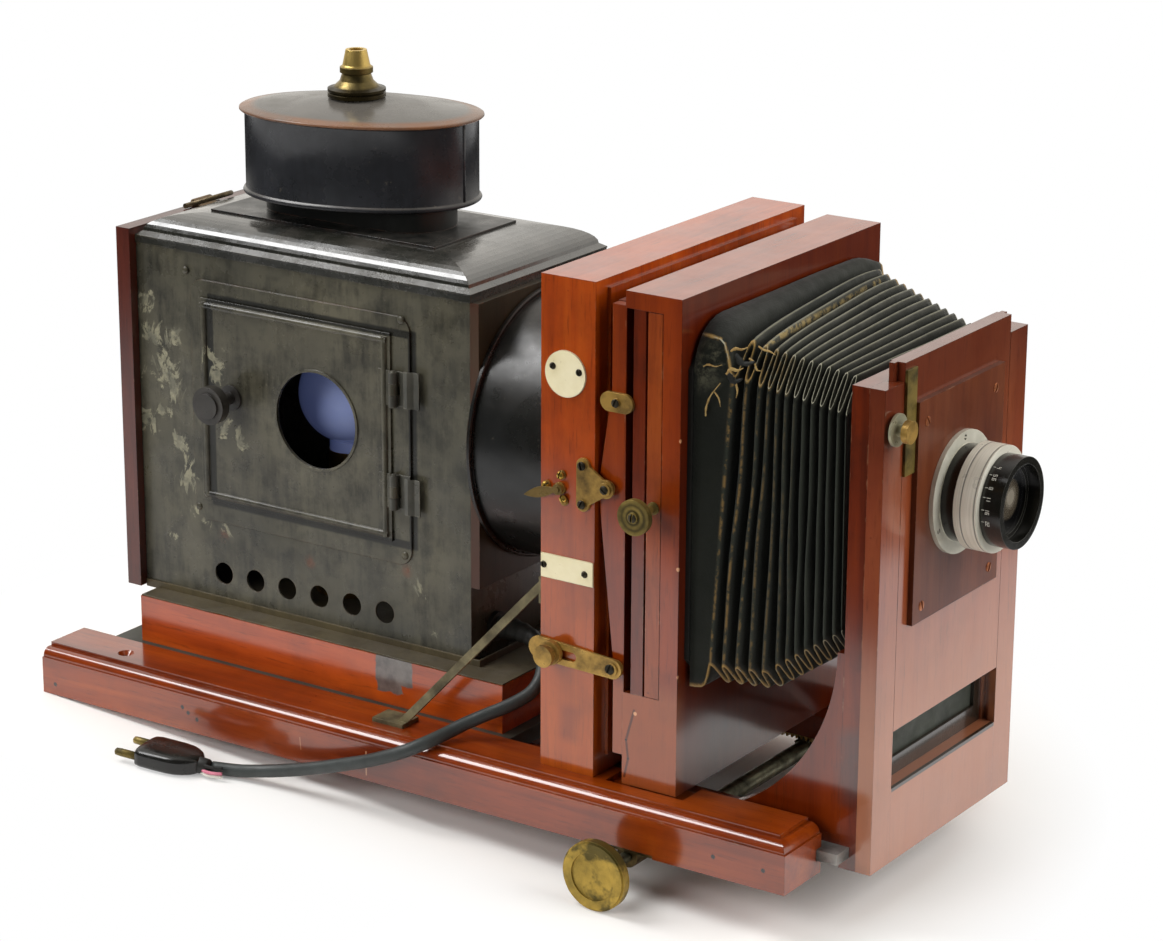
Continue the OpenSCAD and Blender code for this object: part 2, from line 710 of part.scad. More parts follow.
// The same four values at fold i, ridges and valleys in turn
function fold_at(i) = let (t = i / (2 * pleats), deep = (i % 2 == 0) ? 0 : pleat_depth)
    bellows_rear * (1 - t) + bellows_ahead * t + deep * [0, -1, 1, -1];
module bellows() {
    rings = [for (i = [0 : 2 * pleats]) fold_at(i)];
    count = len(rings);
    function ring_points(inset) = [for (q = rings) each [
        [q[0], -q[1] + inset, q[2] + inset], [q[0], q[1] - inset, q[2] + inset],
        [q[0], q[1] - inset, q[3] - inset], [q[0], -q[1] + inset, q[3] - inset]]];
    outer = ring_points(0);
    inner = ring_points(bellows_wall);
    base = 4 * count;
    color("#151515") polyhedron(points = concat(outer, inner), convexity = 10, faces = concat(
        [for (i = [0 : count - 2], k = [0 : 3]) [4 * i + k, 4 * i + (k + 1) % 4,
            4 * (i + 1) + (k + 1) % 4, 4 * (i + 1) + k]],
        [for (i = [0 : count - 2], k = [0 : 3]) [base + 4 * (i + 1) + k,
            base + 4 * (i + 1) + (k + 1) % 4, base + 4 * i + (k + 1) % 4, base + 4 * i + k]],
        [for (k = [0 : 3]) [base + k, base + (k + 1) % 4, (k + 1) % 4, k]],
        [for (k = [0 : 3]) [4 * (count - 1) + k, 4 * (count - 1) + (k + 1) % 4,
            base + 4 * (count - 1) + (k + 1) % 4, base + 4 * (count - 1) + k]]));
}

// ---------- sliding front ----------
module runners() {
    color("#6e2a19") {
        both_sides() box(runner_x, std_x, -std_w / 2, -runner_y, runner_z, runner_z + runner_h);
        box(runner_x, runner_x + 16, -runner_y, runner_y, runner_z, runner_z + runner_h);
    }
}
module runner_tongues() {
    color("#7d7f7c") both_sides()
        box(runner_x, std_x + 6, -std_w / 2 - tongue_w, -std_w / 2, tongue_z, tongue_z + tongue_h);
}
// Rack bars under the runners, in mesh with the pinions
module racks() {
    bar_z = rack_line_z + 1.25 * module_len;
    tooth_w = 0.5 * rack_pitch;
    tip_z = rack_line_z - tooth_add;
    color("#9c8f5a") both_sides() translate([0, -pinion_y + pinion_w / 2, 0]) rotate([90, 0, 0])
        linear_extrude(pinion_w) {
            translate([runner_x + 2, bar_z]) square([std_x - runner_x - 30, rack_root_z - bar_z]);
            for (x = [shaft_x + rack_pitch / 2 : rack_pitch : std_x - 32])
                rack_tooth(x, tip_z, bar_z, tooth_w);
            for (x = [shaft_x - rack_pitch / 2 : -rack_pitch : runner_x + 4])
                rack_tooth(x, tip_z, bar_z, tooth_w);
        }
}
module rack_tooth(x, tip_z, root_z, w) {
    polygon([[x - w * 0.28, tip_z], [x + w * 0.28, tip_z], [x + w * 0.62, root_z + 0.2],
             [x - w * 0.62, root_z + 0.2]]);
}
inner_open_half = opening_half - 8;
module front_frame() {
    half = std_w / 2;
    rail_low = lower_board_z + 10;
    color("#7a2e1b") difference() {
        box(std_x, std_x + std_back_t, -half, half, std_z, std_top_z);
        box(std_x - 1, std_x + std_back_t + 1, -inner_open_half, inner_open_half,
            rail_low, std_top_z - 14);
    }
}
// Upright front lips, grooved for the tongues of the rising panel
module front_lips() {
    half = std_w / 2;
    color("#8a3a24") both_sides() difference() {
        box(std_x + std_back_t, std_front, -half, -opening_half, std_z, std_top_z);
        box(std_x + std_back_t + 1.5 - fit, std_x + std_back_t + 1.5 + panel_tongue_t + fit,
            -opening_half - tongue_depth - fit, -opening_half + 1, lower_board_z, std_top_z + 1);
    }
}
module gussets() {
    half = std_w / 2;
    base_z = runner_z + runner_h;
    top_z = 120;
    centre_x = std_x - gusset_r - 4;
    foot_x = centre_x + 30;
    color("#7a2e1b") both_sides() difference() {
        box(foot_x, std_x, -half, -half + gusset_t, base_z, top_z);
        rod_y(gusset_r, -half - 1, -half + gusset_t + 1, centre_x, top_z);
    }
}
module lower_board() {
    color("#8f4330")
        box(std_x + std_back_t, std_front, -opening_half, opening_half, std_z, lower_board_z);
}
// Blackened board behind the rising panel, with a tall opening for the lens
module inner_board() {
    low = lower_board_z + 10;
    high = std_top_z - 14;
    color("#20231d") difference() {
        box(std_x + 2, std_x + std_back_t - 2, -inner_open_half, inner_open_half, low, high);
        box(std_x, std_x + std_back_t, -lens_way_half, lens_way_half, lens_way_low, high - 8);
    }
}
module rising_panel() {
    half = opening_half - fit;
    color("#8f4330") difference() {
        union() {
            box(std_x + std_back_t + fit, std_front, -half, half, panel_bottom_z, panel_top_z);
            box(std_x + std_back_t + 1.5, std_x + std_back_t + 1.5 + panel_tongue_t,
                -half - tongue_depth, half + tongue_depth, panel_bottom_z, panel_top_z);
        }
        rod_x(26, std_x, std_front + 1, 0, lens_z);
    }
}
module edge_plate() {
    color("#9a7c34") box(std_front, std_front + 1.5, -opening_half + 0.5, -board_w / 2 - fit,
        213.5, 269.5);
}
module rise_screw() {
    y = -std_w / 2 + 8.8;
    z = std_top_z - 22;
    seat = std_front;
    color("#b5a468") {
        rod_x(3, seat, seat + 2, y, z);
        rod_x(8.6, seat + 2, seat + 3.6, y, z);
        rod_x(3.2, seat + 3.6, seat + 7.5, y, z);
        rod_x(6, seat + 7.5, seat + 11, y, z);
    }
}

// ---------- lens ----------
module lens_board() {
    color("#7c3423") difference() {
        box(std_front, board_x, -board_w / 2, board_w / 2,
            lens_z - board_h / 2 - 1, lens_z + board_h / 2 - 1);
        rod_x(26, std_x, board_x + 1, 0, lens_z);
    }
}
iris_x = flange_x + 9;
iris_len = 13;
module lens_axis() {
    translate([0, 0, lens_z]) rotate([0, 90, 0]) rotate_extrude(convexity = 6) children();
}
// Flange, rear tube, shoulder and front ring, in one turned piece
module lens_barrel() {
    front_x = iris_x + iris_len + fit;
    bore = hood_bore_r - 1.5;
    color("#101010") lens_axis() {
        translate([18, board_x]) square([flange_r - 18, flange_t]);
        translate([18, std_x + std_back_t - 4]) square([7.5, board_x - std_x - std_back_t + 5]);
        translate([18, flange_x - eps]) square([iris_r - 2.5 - 18, iris_x - fit - flange_x]);
        translate([18, flange_x - eps]) square([2.5, lens_front - hood_depth - flange_x]);
        translate([18, front_x]) square([front_ring_r - 18, lens_front - hood_depth - front_x]);
        translate([hood_bore_r, front_x]) square([front_ring_r - hood_bore_r, lens_front - front_x]);
    }
}
module iris_ring() {
    color("#b9bbb6") lens_axis() {
        translate([20.5 + pin_fit, iris_x]) square([iris_r - 20.5 - pin_fit, iris_len]);
    }
}
module lens_glass() {
    color("#3a4656", 0.6) lens_axis() {
        translate([0, lens_front - hood_depth - 4]) square([18 - pin_fit, 3]);
        translate([0, flange_x - 6]) square([18 - pin_fit, 3]);
    }
}

// ---------- lamp house ----------
module plinth() {
    half = plinth_w / 2;
    color("#8a3a24") box(plinth_x, plinth_x + plinth_len, -half, half, rail_h, plinth_top);
}
module lamp_tray() {
    lip = 3.4;
    front = lamp_end + 6.5;
    rear = lamp_x;
    half = half_lamp + tray_t;
    color("#57503f") difference() {
        box(rear, front, -half, half, plinth_top, wall_z + lip);
        box(rear - 1, front - tray_t, -half_lamp, half_lamp, wall_z, wall_z + lip + 1);
    }
}
vents = 6;
vent_x = lamp_x + 58.8;
vent_z = wall_z + 17.8;
frame_x = door_x - 7;
frame_z = door_z - 13;
frame_w = door_w + 19.5;
frame_h = door_h + 23;
module rounded_rect(x, z, w, h, r) {
    translate([x + r, z]) square([w - 2 * r, h]);
    translate([x, z + r]) square([w, h - 2 * r]);
    for (i = [r, w - r], k = [r, h - r]) translate([x + i, z + k]) circle(r = r);
}
module lamp_body() {
    t = sheet_t;
    half = half_lamp;
    lap = 5;
    color("#1f2120") difference() {
        union() {
            difference() {
                box(lamp_x, lamp_end, -half, half, wall_z, eaves_z);
                box(lamp_x + t, lamp_end - t, -half + t, half - t, wall_z - 1, eaves_z + 1);
            }
            // stiffening plate round the door
            plate_y(half + frame_skin, frame_skin + eps) rounded_rect(frame_x, frame_z, frame_w, frame_h, 9);
            // runners for the back board
            both_sides() {
                box(back_x + back_t - 6, lamp_x + eps, -half, -half + t, wall_z + 2, eaves_z - 6);
                box(back_x + back_t - 6, back_x + back_t - 6 + t, -half, -half + 4,
                    wall_z + 2, eaves_z - 6);
            }
        }
        // doorway
        box(door_x + lap, door_x + door_w - lap, -half - 5, -half + 5, door_z + lap, door_z + door_h - lap);
        // rear opening
        box(lamp_x - 1, lamp_x + t + 1, -half + 9, half - 9, wall_z + 9, eaves_z - 9);
        // opening to the condenser
        rod_x(light_way_r, lamp_end - t - 1, lamp_end + 1, 0, axis_z);
        for (i = [0 : vents - 1])
            rod_y(vent_d / 2, -half - 1, half + 1, vent_x + i * vent_pitch, vent_z);
        rod_x(cord_r + 1, lamp_end - t - 1, lamp_end + 1, cord_exit_y, cord_exit_z);
    }
}
// Section of the roof: the flat top, a rounded shoulder and a flared eave
function roof_curve(w_top, w_eave, drop) = let (shoulder = roof_h - 3, reach = (w_eave - w_top) - 3.5)
    concat([for (a = [90 : -10 : 0])
            [w_top + reach * cos(a), eaves_z + 3 + shoulder * sin(a) - drop]],
        [[w_eave, eaves_z + 0.8 - drop], [w_eave, eaves_z - drop]]);
module roof_profile(w_top, w_eave, drop = 0) {
    side = roof_curve(w_top, w_eave, drop);
    flip = [for (i = [len(side) - 1 : -1 : 0]) [-side[i][0], side[i][1]]];
    polygon(concat(flip, side));
}
// The roof overhangs by its eave at the sides and the front, and ends flush at the rear
module roof_solid(eave, rear, drop) {
    front = lamp_end + eave;
    half_len = (front - rear) / 2;
    half_wid = half_lamp + eave;
    intersection() {
        translate([rear, 0, 0]) rotate([90, 0, 90]) linear_extrude(2 * half_len)
            roof_profile(top_plate_w / 2 + 1, half_wid, drop);
        translate([rear + half_len, half_wid, 0]) rotate([90, 0, 0]) linear_extrude(2 * half_wid)
            roof_profile(top_plate_len / 2 + 1, half_len, drop);
    }
}
module lamp_roof() {
    eave = 1.5;
    color("#232524") {
        difference() {
            roof_solid(eave, lamp_x, 0);
            roof_solid(-sheet_t, lamp_x + sheet_t, eave);
            translate([chimney_x, 0, eaves_z]) linear_extrude(roof_h + 5)
                stadium(neck_len - 2 * sheet_t, neck_w - 2 * sheet_t);
        }
        // folded edge outside the walls
        difference() {
            box(lamp_x, lamp_end + sheet_t, -half_lamp - sheet_t, half_lamp + sheet_t,
                eaves_z - skirt_h, eaves_z);
            box(lamp_x - 1, lamp_end, -half_lamp, half_lamp, eaves_z - skirt_h - 1, eaves_z + 1);
        }
    }
}
neck_h = cowl_gap + cowl_h - 16;
// Top plate with the oval neck that stands up into the cowl
module chimney_neck() {
    mid = chimney_x + 1;
    color("#1a1c1c") {
        translate([mid, 0, roof_top]) linear_extrude(sheet_t) difference() {
            square([top_plate_len, top_plate_w], center = true);
            translate([-1, 0]) stadium(neck_len - 2 * sheet_t, neck_w - 2 * sheet_t);
        }
        translate([chimney_x, 0, roof_top + sheet_t])
            stadium_tube(neck_len, neck_w, neck_h, sheet_t);
    }
}
module front_board() {
    half = half_lamp;
    color("#6b2615") difference() {
        box(lamp_end, lamp_end + front_board_t, -half, half, front_board_z, front_board_z + front_board_h);
        rod_x(light_way_r, lamp_end - 1, lamp_end + front_board_t + 1, 0, axis_z);
    }
}
bulb_x = 137;
bulb_z = axis_z - 7.5;
module lamp_holder() {
    foot_r = 22;
    stem_r = 9;
    socket_r = 15;
    collar_r = 13;
    base_z = bulb_z - wall_z - bulb_r;  // lowest point of the bulb above the tray
    color("#8a7440") translate([bulb_x, 0, wall_z]) {
        cylinder(r = foot_r, h = 3);
        cylinder(r = stem_r, h = base_z - 16);
        translate([0, 0, base_z - 38]) cylinder(r = socket_r, h = 20);
        translate([0, 0, base_z - 18]) cylinder(r = collar_r, h = 14);
    }
}
module bulb() {
    color("#e8eaf0") translate([bulb_x, 0, 0]) {
        translate([0, 0, bulb_z]) sphere(r = bulb_r);
        translate([0, 0, bulb_z - bulb_r - 4]) cylinder(r = 12.4, h = 16);
    }
}
module cord_gland() {
    color("#15130f") difference() {
        union() {
            rod_x(8.5, lamp_end, lamp_end + 2.5, cord_exit_y, cord_exit_z);
            rod_x(6.3, lamp_end - 3, lamp_end + 3, cord_exit_y, cord_exit_z);
        }
        rod_x(cord_r, lamp_end - 4, lamp_end + 4, cord_exit_y, cord_exit_z);
        difference() {
            rod_x(10, lamp_end - sheet_t - pin_fit, lamp_end, cord_exit_y, cord_exit_z);
            rod_x(cord_r + 1 - pin_fit, lamp_end - sheet_t - 1, lamp_end + 1, cord_exit_y, cord_exit_z);
        }
    }
}

// ---------- cord ----------
function unit(v) = v / norm(v);
function tangent(path, i) = unit(path[min(i + 1, len(path) - 1)] - path[max(i - 1, 0)]);
function level(t) = unit(cross(t, [0, 0, 1]));
module mains_cord() {
    sides = 8;
    count = len(cord_route);
    points = [for (i = [0 : count - 1]) let (t = tangent(cord_route, i), a = level(t), b = cross(t, a))
        for (k = [0 : sides - 1]) let (turn = k * 360 / sides)
            cord_route[i] + cord_r * (cos(turn) * a + sin(turn) * b)];
    color("#141414") polyhedron(points = points, convexity = 8, faces = concat(
        [[for (k = [sides - 1 : -1 : 0]) k]],
        [for (i = [0 : count - 2], k = [0 : sides - 1]) [i * sides + k, i * sides + (k + 1) % sides,
            (i + 1) * sides + (k + 1) % sides, (i + 1) * sides + k]],
        [[for (k = [0 : sides - 1]) (count - 1) * sides + k]]));
}
// Flat two pin plug lying on the surface that the knobs and rail ends stand on
module plug() {
    body_h = 11;
    pin_gap = 19;
    floor_z = -plug_pos[0] * tan(tilt);
    color("#141414") translate([plug_pos[0], plug_pos[1], floor_z]) rotate([0, tilt, plug_turn]) {
        hull() {
            for (s = [-1, 1]) {
                translate([-13, s * 11, 0]) cylinder(r = 3, h = body_h, $fn = 32);
                translate([10, s * 8, 0]) cylinder(r = 4, h = body_h - 1, $fn = 32);
            }
            translate([16, 0, 0.5]) cylinder(r = 5, h = body_h - 2, $fn = 32);
        }
        for (s = [-1, 1]) rod_x(2.3, -30, -15, s * pin_gap / 2, body_h / 2);
        rod_x(cord_r + 0.9, 18, 26, 0, body_h / 2);
    }
}

// ---------- door ----------
hinge_len = 20;
hinge_zs = [door_z + 20, door_z + door_h - 41];
window_x = door_x + door_w / 2 + 16;  // middle of the round window, towards the hinges
window_z = door_z + door_h / 2 + 1.3;
pull_x = door_x + 22.7;
pull_z = door_z + door_h / 2 + 4.3;
module knuckle(z0, z1, r_in) {
    translate([hinge_x, -hinge_y, z0]) difference() {
        cylinder(r = hinge_r, h = z1 - z0);
        translate([0, 0, -1]) cylinder(r = r_in, h = z1 - z0 + 2);
    }
}
module door() {
    bead = 1.8;
    back = door_y;
    face = door_y + door_t;
    leaf = 11;
    third = hinge_len / 3;
    color("#242625") difference() {
        union() {
            box(door_x, door_x + door_w, -face, -back, door_z, door_z + door_h);
            door_bead(bead, face);
            for (z = hinge_zs) {
                translate([hinge_x, -hinge_y, z + third + 0.2]) cylinder(r = hinge_r, h = third - 0.4);
                box(hinge_x - leaf, hinge_x, -face - 0.8, -face + 0.3, z + third + 0.2, z + 2 * third - 0.2);
                box(hinge_x - leaf, hinge_x - 3, -face - 0.8, -face + 0.3, z, z + hinge_len);
            }
            rod_y(window_r + 1.6, -face - 0.8, -face + 0.3, window_x, window_z);
        }
        rod_y(window_r, -face - 5, -back + 1, window_x, window_z);
        for (z = hinge_zs) translate([hinge_x, -hinge_y, z - 1])
            cylinder(r = hinge_pin_r + pin_fit, h = hinge_len + 2);
    }
}
// Half round bead pressed into the door near its edge
module door_bead(r, face) {
    m = 4;
    x0 = door_x + m;
    x1 = door_x + door_w - m;
    z0 = door_z + m;
    z1 = door_z + door_h - m;
    intersection() {
        union() {
            for (z = [z0, z1]) rod_x(r, x0 - r, x1 + r, -face, z);
            for (x = [x0, x1]) translate([x, -face, z0 - r]) cylinder(r = r, h = z1 - z0 + 2 * r);
        }
        box(x0 - 5, x1 + 5, -face - 5, -face + 0.2, z0 - 5, z1 + 5);
    }
}
// Fixed leaves, knuckles and pins of the two door hinges
module door_hinges() {
    plate = half_lamp + frame_skin;
    third = hinge_len / 3;
    color("#1b1a19") for (z = hinge_zs) {
        for (k = [0, 2]) {
            knuckle(z + k * third, z + (k + 1) * third, hinge_pin_r - 0.2);
            box(hinge_x + 1.6, hinge_x + 9.5, -plate - 0.8, -plate, z + k * third, z + (k + 1) * third);
        }
        box(hinge_x + 3.4, hinge_x + 9.5, -plate - 0.8, -plate, z, z + hinge_len);
        translate([hinge_x, -hinge_y, z - 0.6]) cylinder(r = hinge_pin_r, h = hinge_len + 1.2);
    }
}
module door_pull() {
    face = door_y + door_t;
    color("#1b1a19") translate([pull_x, 0, pull_z]) {
        rod_y(7.5, -face - 1.4, -face, 0, 0);
        rod_y(3.6, -face - 15, -face, 0, 0);
        rod_y(8.2, -face - 15, -face - 12.4, 0, 0);
        rod_y(11, -face - 21, -face - 15, 0, 0);
        rod_y(7.4, -face - 22.4, -face - 21, 0, 0);
    }
}
// ---------- back board ----------
module back_board() {
    half = back_half_w;
    color("#6b2615") difference() {
        box(back_x, back_x + back_t, -half, half, wall_z, back_top_z);
        both_sides() {
            box(back_x + back_t - 6 - fit, back_x + back_t - 6 + sheet_t + fit, -half_lamp - fit,
                -half_lamp + 4 + fit, wall_z - 1, eaves_z - 6);
            box(back_x + back_t - 6, back_x + back_t + 1, -half_lamp - fit, -half_lamp + sheet_t + fit,
                wall_z - 1, eaves_z - 6);
        }
    }
}
ring_wide = 31;
ring_leg = 5;
ring_wire = 1.5;
ring_lift = 20;
// D shaped lifting ring, folded forward over the roof
module d_ring() {
    side = ring_wide / 2 - ring_wire;
    color("#4a4234") translate([ring_x, 0, back_top_z + ring_wire + fit]) rotate([0, -ring_lift, 0]) {
        rod_y(ring_wire, -side - ring_wire, side + ring_wire, 0, 0);
        both_sides() rod_x(ring_wire, 0, ring_leg, -side, 0);
        intersection() {
            translate([ring_leg, 0, 0]) rotate_extrude() translate([side, 0]) circle(r = ring_wire);
            box(ring_leg, 40, -40, 40, -5, 5);
        }
    }
}

// ---------- chimney ----------
module chimney_cowl() {
    dome_steps = 5;
    dome_len = cowl_len + 2 * lid_lip - 4;
    dome_w = cowl_w + 2 * lid_lip - 4;
    seat_len = 54;
    seat_w = 36;
    rest_z = roof_top + sheet_t + neck_h;
    color("#17191a") {
        translate([chimney_x, 0, cowl_z]) stadium_tube(cowl_len, cowl_w, cowl_h, sheet_t);
        translate([chimney_x, 0, cowl_z]) linear_extrude(2.4) difference() {
            stadium(cowl_len + 1.6, cowl_w + 1.6);
            stadium(cowl_len - 2 * sheet_t, cowl_w - 2 * sheet_t);
        }
        // cross bars inside that rest on the neck
        for (s = [-1, 1]) box(chimney_x + s * 30 - 4, chimney_x + s * 30 + 4,
            -cowl_w / 2 + sheet_t / 2, cowl_w / 2 - sheet_t / 2, rest_z, rest_z + 1.6);
        translate([chimney_x, 0, lid_z]) {
            linear_extrude(lid_t) stadium(cowl_len + 2 * lid_lip, cowl_w + 2 * lid_lip);
            hull() for (k = [0 : dome_steps]) let (a = 90 * k / dome_steps)
                translate([0, 0, lid_t + lid_rise * sin(a) - 0.1]) linear_extrude(0.1)
                    stadium(seat_len + (dome_len - seat_len) * cos(a),
                            seat_w + (dome_w - seat_w) * cos(a), $fn = 48);
        }
    }
}
module cowl_gland() {
    color("#a8873f") translate([chimney_x - 2, 0, gland_z]) rotate_extrude(convexity = 6) difference() {
        polygon([[0, 0], [16.5, 0], [16.5, 2], [15.5, 2.6], [16.5, 3.2], [16.5, 4.6], [13, 5.6], [9.5, 9],
                 [8.2, 13], [9.4, 13.6], [9.4, 16.6], [8.4, 17.2], [7.8, 18], [6, 26.5], [0, 26.5]]);
        translate([-1, 5]) square([5, 30]);
    }
}

// ---------- drawing ----------
place() rail_near();
place() rail_far();
place() bed_board();
place() cross_board();
place() stays();
place() shaft_bearings();
place() condenser_frame();
place() condenser_drum();
place() condenser_cell();
place() condenser_lenses();
place() plaques();
place() pivot_brackets();
place() catch_plate();
place() catch_lever();
place() clamp_screw();
place() focus_shaft();
place() focus_knobs();
place() stage_frame();
place() stage_back();
place() stage_cheeks();
place() fixed_leaf();
place() carrier();
place() carrier_knob();
place() turn_button();
place() tilt_link();
place() bellows_flange();
place() bellows();
place() runners();
place() runner_tongues();
place() racks();
place() front_frame();
place() front_lips();
place() gussets();
place() lower_board();
place() inner_board();
place() rising_panel();
place() edge_plate();
place() rise_screw();
place() lens_board();
place() lens_barrel();
place() iris_ring();
place() lens_glass();
place() plinth();
place() lamp_tray();
place() lamp_body();
place() lamp_roof();
place() chimney_neck();
place() front_board();
place() lamp_holder();
place() bulb();
place() cord_gland();
place() mains_cord();
place() plug();
place() door_hinges();
place() door();
place() door_pull();
place() back_board();
place() d_ring();
place() chimney_cowl();
place() cowl_gland();
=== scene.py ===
import json
import random
from math import asin, atan, copysign, cos, hypot, pi, radians, sin, sqrt, tan

import bpy
from mathutils import Matrix, Vector, noise


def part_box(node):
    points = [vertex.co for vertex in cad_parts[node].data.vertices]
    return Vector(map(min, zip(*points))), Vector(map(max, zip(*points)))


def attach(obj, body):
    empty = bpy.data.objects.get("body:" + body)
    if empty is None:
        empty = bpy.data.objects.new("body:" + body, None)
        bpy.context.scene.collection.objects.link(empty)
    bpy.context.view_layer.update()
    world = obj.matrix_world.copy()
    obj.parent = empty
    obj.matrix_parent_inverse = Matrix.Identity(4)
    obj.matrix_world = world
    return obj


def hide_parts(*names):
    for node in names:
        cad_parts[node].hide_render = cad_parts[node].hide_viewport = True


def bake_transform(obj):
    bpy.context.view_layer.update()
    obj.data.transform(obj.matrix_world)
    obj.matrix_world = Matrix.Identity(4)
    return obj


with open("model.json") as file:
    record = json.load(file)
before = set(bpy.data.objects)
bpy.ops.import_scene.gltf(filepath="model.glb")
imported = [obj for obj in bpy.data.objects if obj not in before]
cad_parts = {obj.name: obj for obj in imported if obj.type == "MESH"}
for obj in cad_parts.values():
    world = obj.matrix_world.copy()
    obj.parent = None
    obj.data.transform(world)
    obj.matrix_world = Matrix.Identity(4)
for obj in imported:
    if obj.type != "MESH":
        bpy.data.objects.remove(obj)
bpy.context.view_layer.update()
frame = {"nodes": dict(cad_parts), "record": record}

# ---- places
# Sizes are in millimetres, measured from the rear end and the underside of the rails, as in the part's source.
MM = 0.001
MID_X = -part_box("rail_near")[0].x / MM
STAND_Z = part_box("rail_near")[0].z / MM
ZERO = {"x": -MID_X, "y": 0, "z": STAND_Z}


def at(x, y, z):
    """A point in the row frame, in metres."""
    return Vector(((x - MID_X) * MM, y * MM, (z + STAND_Z) * MM))


def box(node):
    """The lowest and the highest corner of a CAD node, in millimetres."""
    return [Vector((p.x / MM + MID_X, p.y / MM, p.z / MM - STAND_Z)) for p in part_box(node)]


def near_face(node):
    """The middle of the near face of a CAD node."""
    low, high = box(node)
    return Vector(((low.x + high.x) / 2, low.y, (low.z + high.z) / 2))


def mix(a, b, share):
    return a + (b - a) * share


SHAFT_X = 409
TILT = atan(STAND_Z / SHAFT_X)  # slope of the floor: the rear rail ends and the knobs stand on it
AXIS_Z = 185.5
LENS_Z = 191.5
LINK_Z = AXIS_Z - 91.5
FLANGE_X = 538.9  # front of the lens flange
GROOVES_X = (551.6, 559.4)  # in the silver ring of the lens
RAIL_Y = -122  # near faces of the rails, the stage and the lamp house
STAGE_Y = -101.5
WALL_Y = -66
COWL_LOW = box("chimney_cowl")[0].z
COWL_LID = COWL_LOW + 48
COWL_TURN = radians(16)
COWL_MIDDLE = 148
COWL_HALF = (68.5, 45)
NEAR, AHEAD = (0, -1, 0), (1, 0, 0)

# ---- camera
CAMERA_AT = (1343.3, -1552.4, 754)
CAMERA_TURNS = ((33.92, "Z"), (90 - 17.63, "X"), (0.308, "Z"))  # azimuth, elevation and roll
CAMERA_LENS = 108.83


def make_camera():
    data = bpy.data.cameras.new("camera")
    data.lens = CAMERA_LENS
    data.sensor_width = 36
    data.sensor_fit = "HORIZONTAL"
    data.clip_start, data.clip_end = 0.05, 50
    camera = bpy.data.objects.new("camera", data)
    bpy.context.scene.collection.objects.link(camera)
    place = Matrix.Translation(at(*CAMERA_AT))
    for angle, axis in CAMERA_TURNS:
        place = place @ Matrix.Rotation(radians(angle), 4, axis)
    camera.matrix_world = place
    bpy.context.scene.camera = camera


# ---- material kit
MATERIALS = {}


def rgb(code):
    """A colour written as a hex code of sRGB values, as linear values."""
    parts = [int(code[i : i + 2], 16) / 255 for i in (0, 2, 4)]
    linear = [p / 12.92 if p <= 0.04045 else ((p + 0.055) / 1.055) ** 2.4 for p in parts]
    return (*linear, 1)


class Nodes:
    """Short calls that add a node to a tree and return its output."""

    def __init__(self, tree, space="Object"):
        self.tree = tree
        self.place = self.node("TexCoord", out=space)

    def node(self, kind, inputs=(), out=0, **values):
        """inputs is a list of values and outputs, or a dictionary of them by socket."""
        made = self.tree.nodes.new("ShaderNode" + kind)
        for key, value in values.items():
            setattr(made, key, value)
        for socket, value in inputs.items() if isinstance(inputs, dict) else enumerate(inputs):
            self.feed(made.inputs[socket], value)
        return made.outputs[out]

    def feed(self, socket, value):
        """Links an output or sets a value. A colour may be a hex code."""
        if isinstance(value, bpy.types.NodeSocket):
            self.tree.links.new(value, socket)
        elif value is not None:
            socket.default_value = rgb(value) if isinstance(value, str) else value

    def math(self, operation, *values):
        return self.node("Math", values, operation=operation)

    def fold(self, operation, first, *others):
        for other in others:
            first = self.math(operation, first, other)
        return first

    def times(self, *values):
        return self.fold("MULTIPLY", *values)

    def most(self, *masks):
        return self.fold("MAXIMUM", *masks)

    def vector(self, operation, a, b, out=0):
        return self.node("VectorMath", (a, b), out, operation=operation)

    def axis(self, name, source=None):
        return self.node("SeparateXYZ", (source or self.place,), name.upper())

    def span(self, value, low, high, to_low=0, to_high=1):
        """Maps low..high to to_low..to_high, held at the ends."""
        return self.node("MapRange", (value, low, high, to_low, to_high))

    def mix(self, share, a, b):
        """Between two colours."""
        return self.node("Mix", {0: share, 6: a, 7: b}, 2, data_type="RGBA")


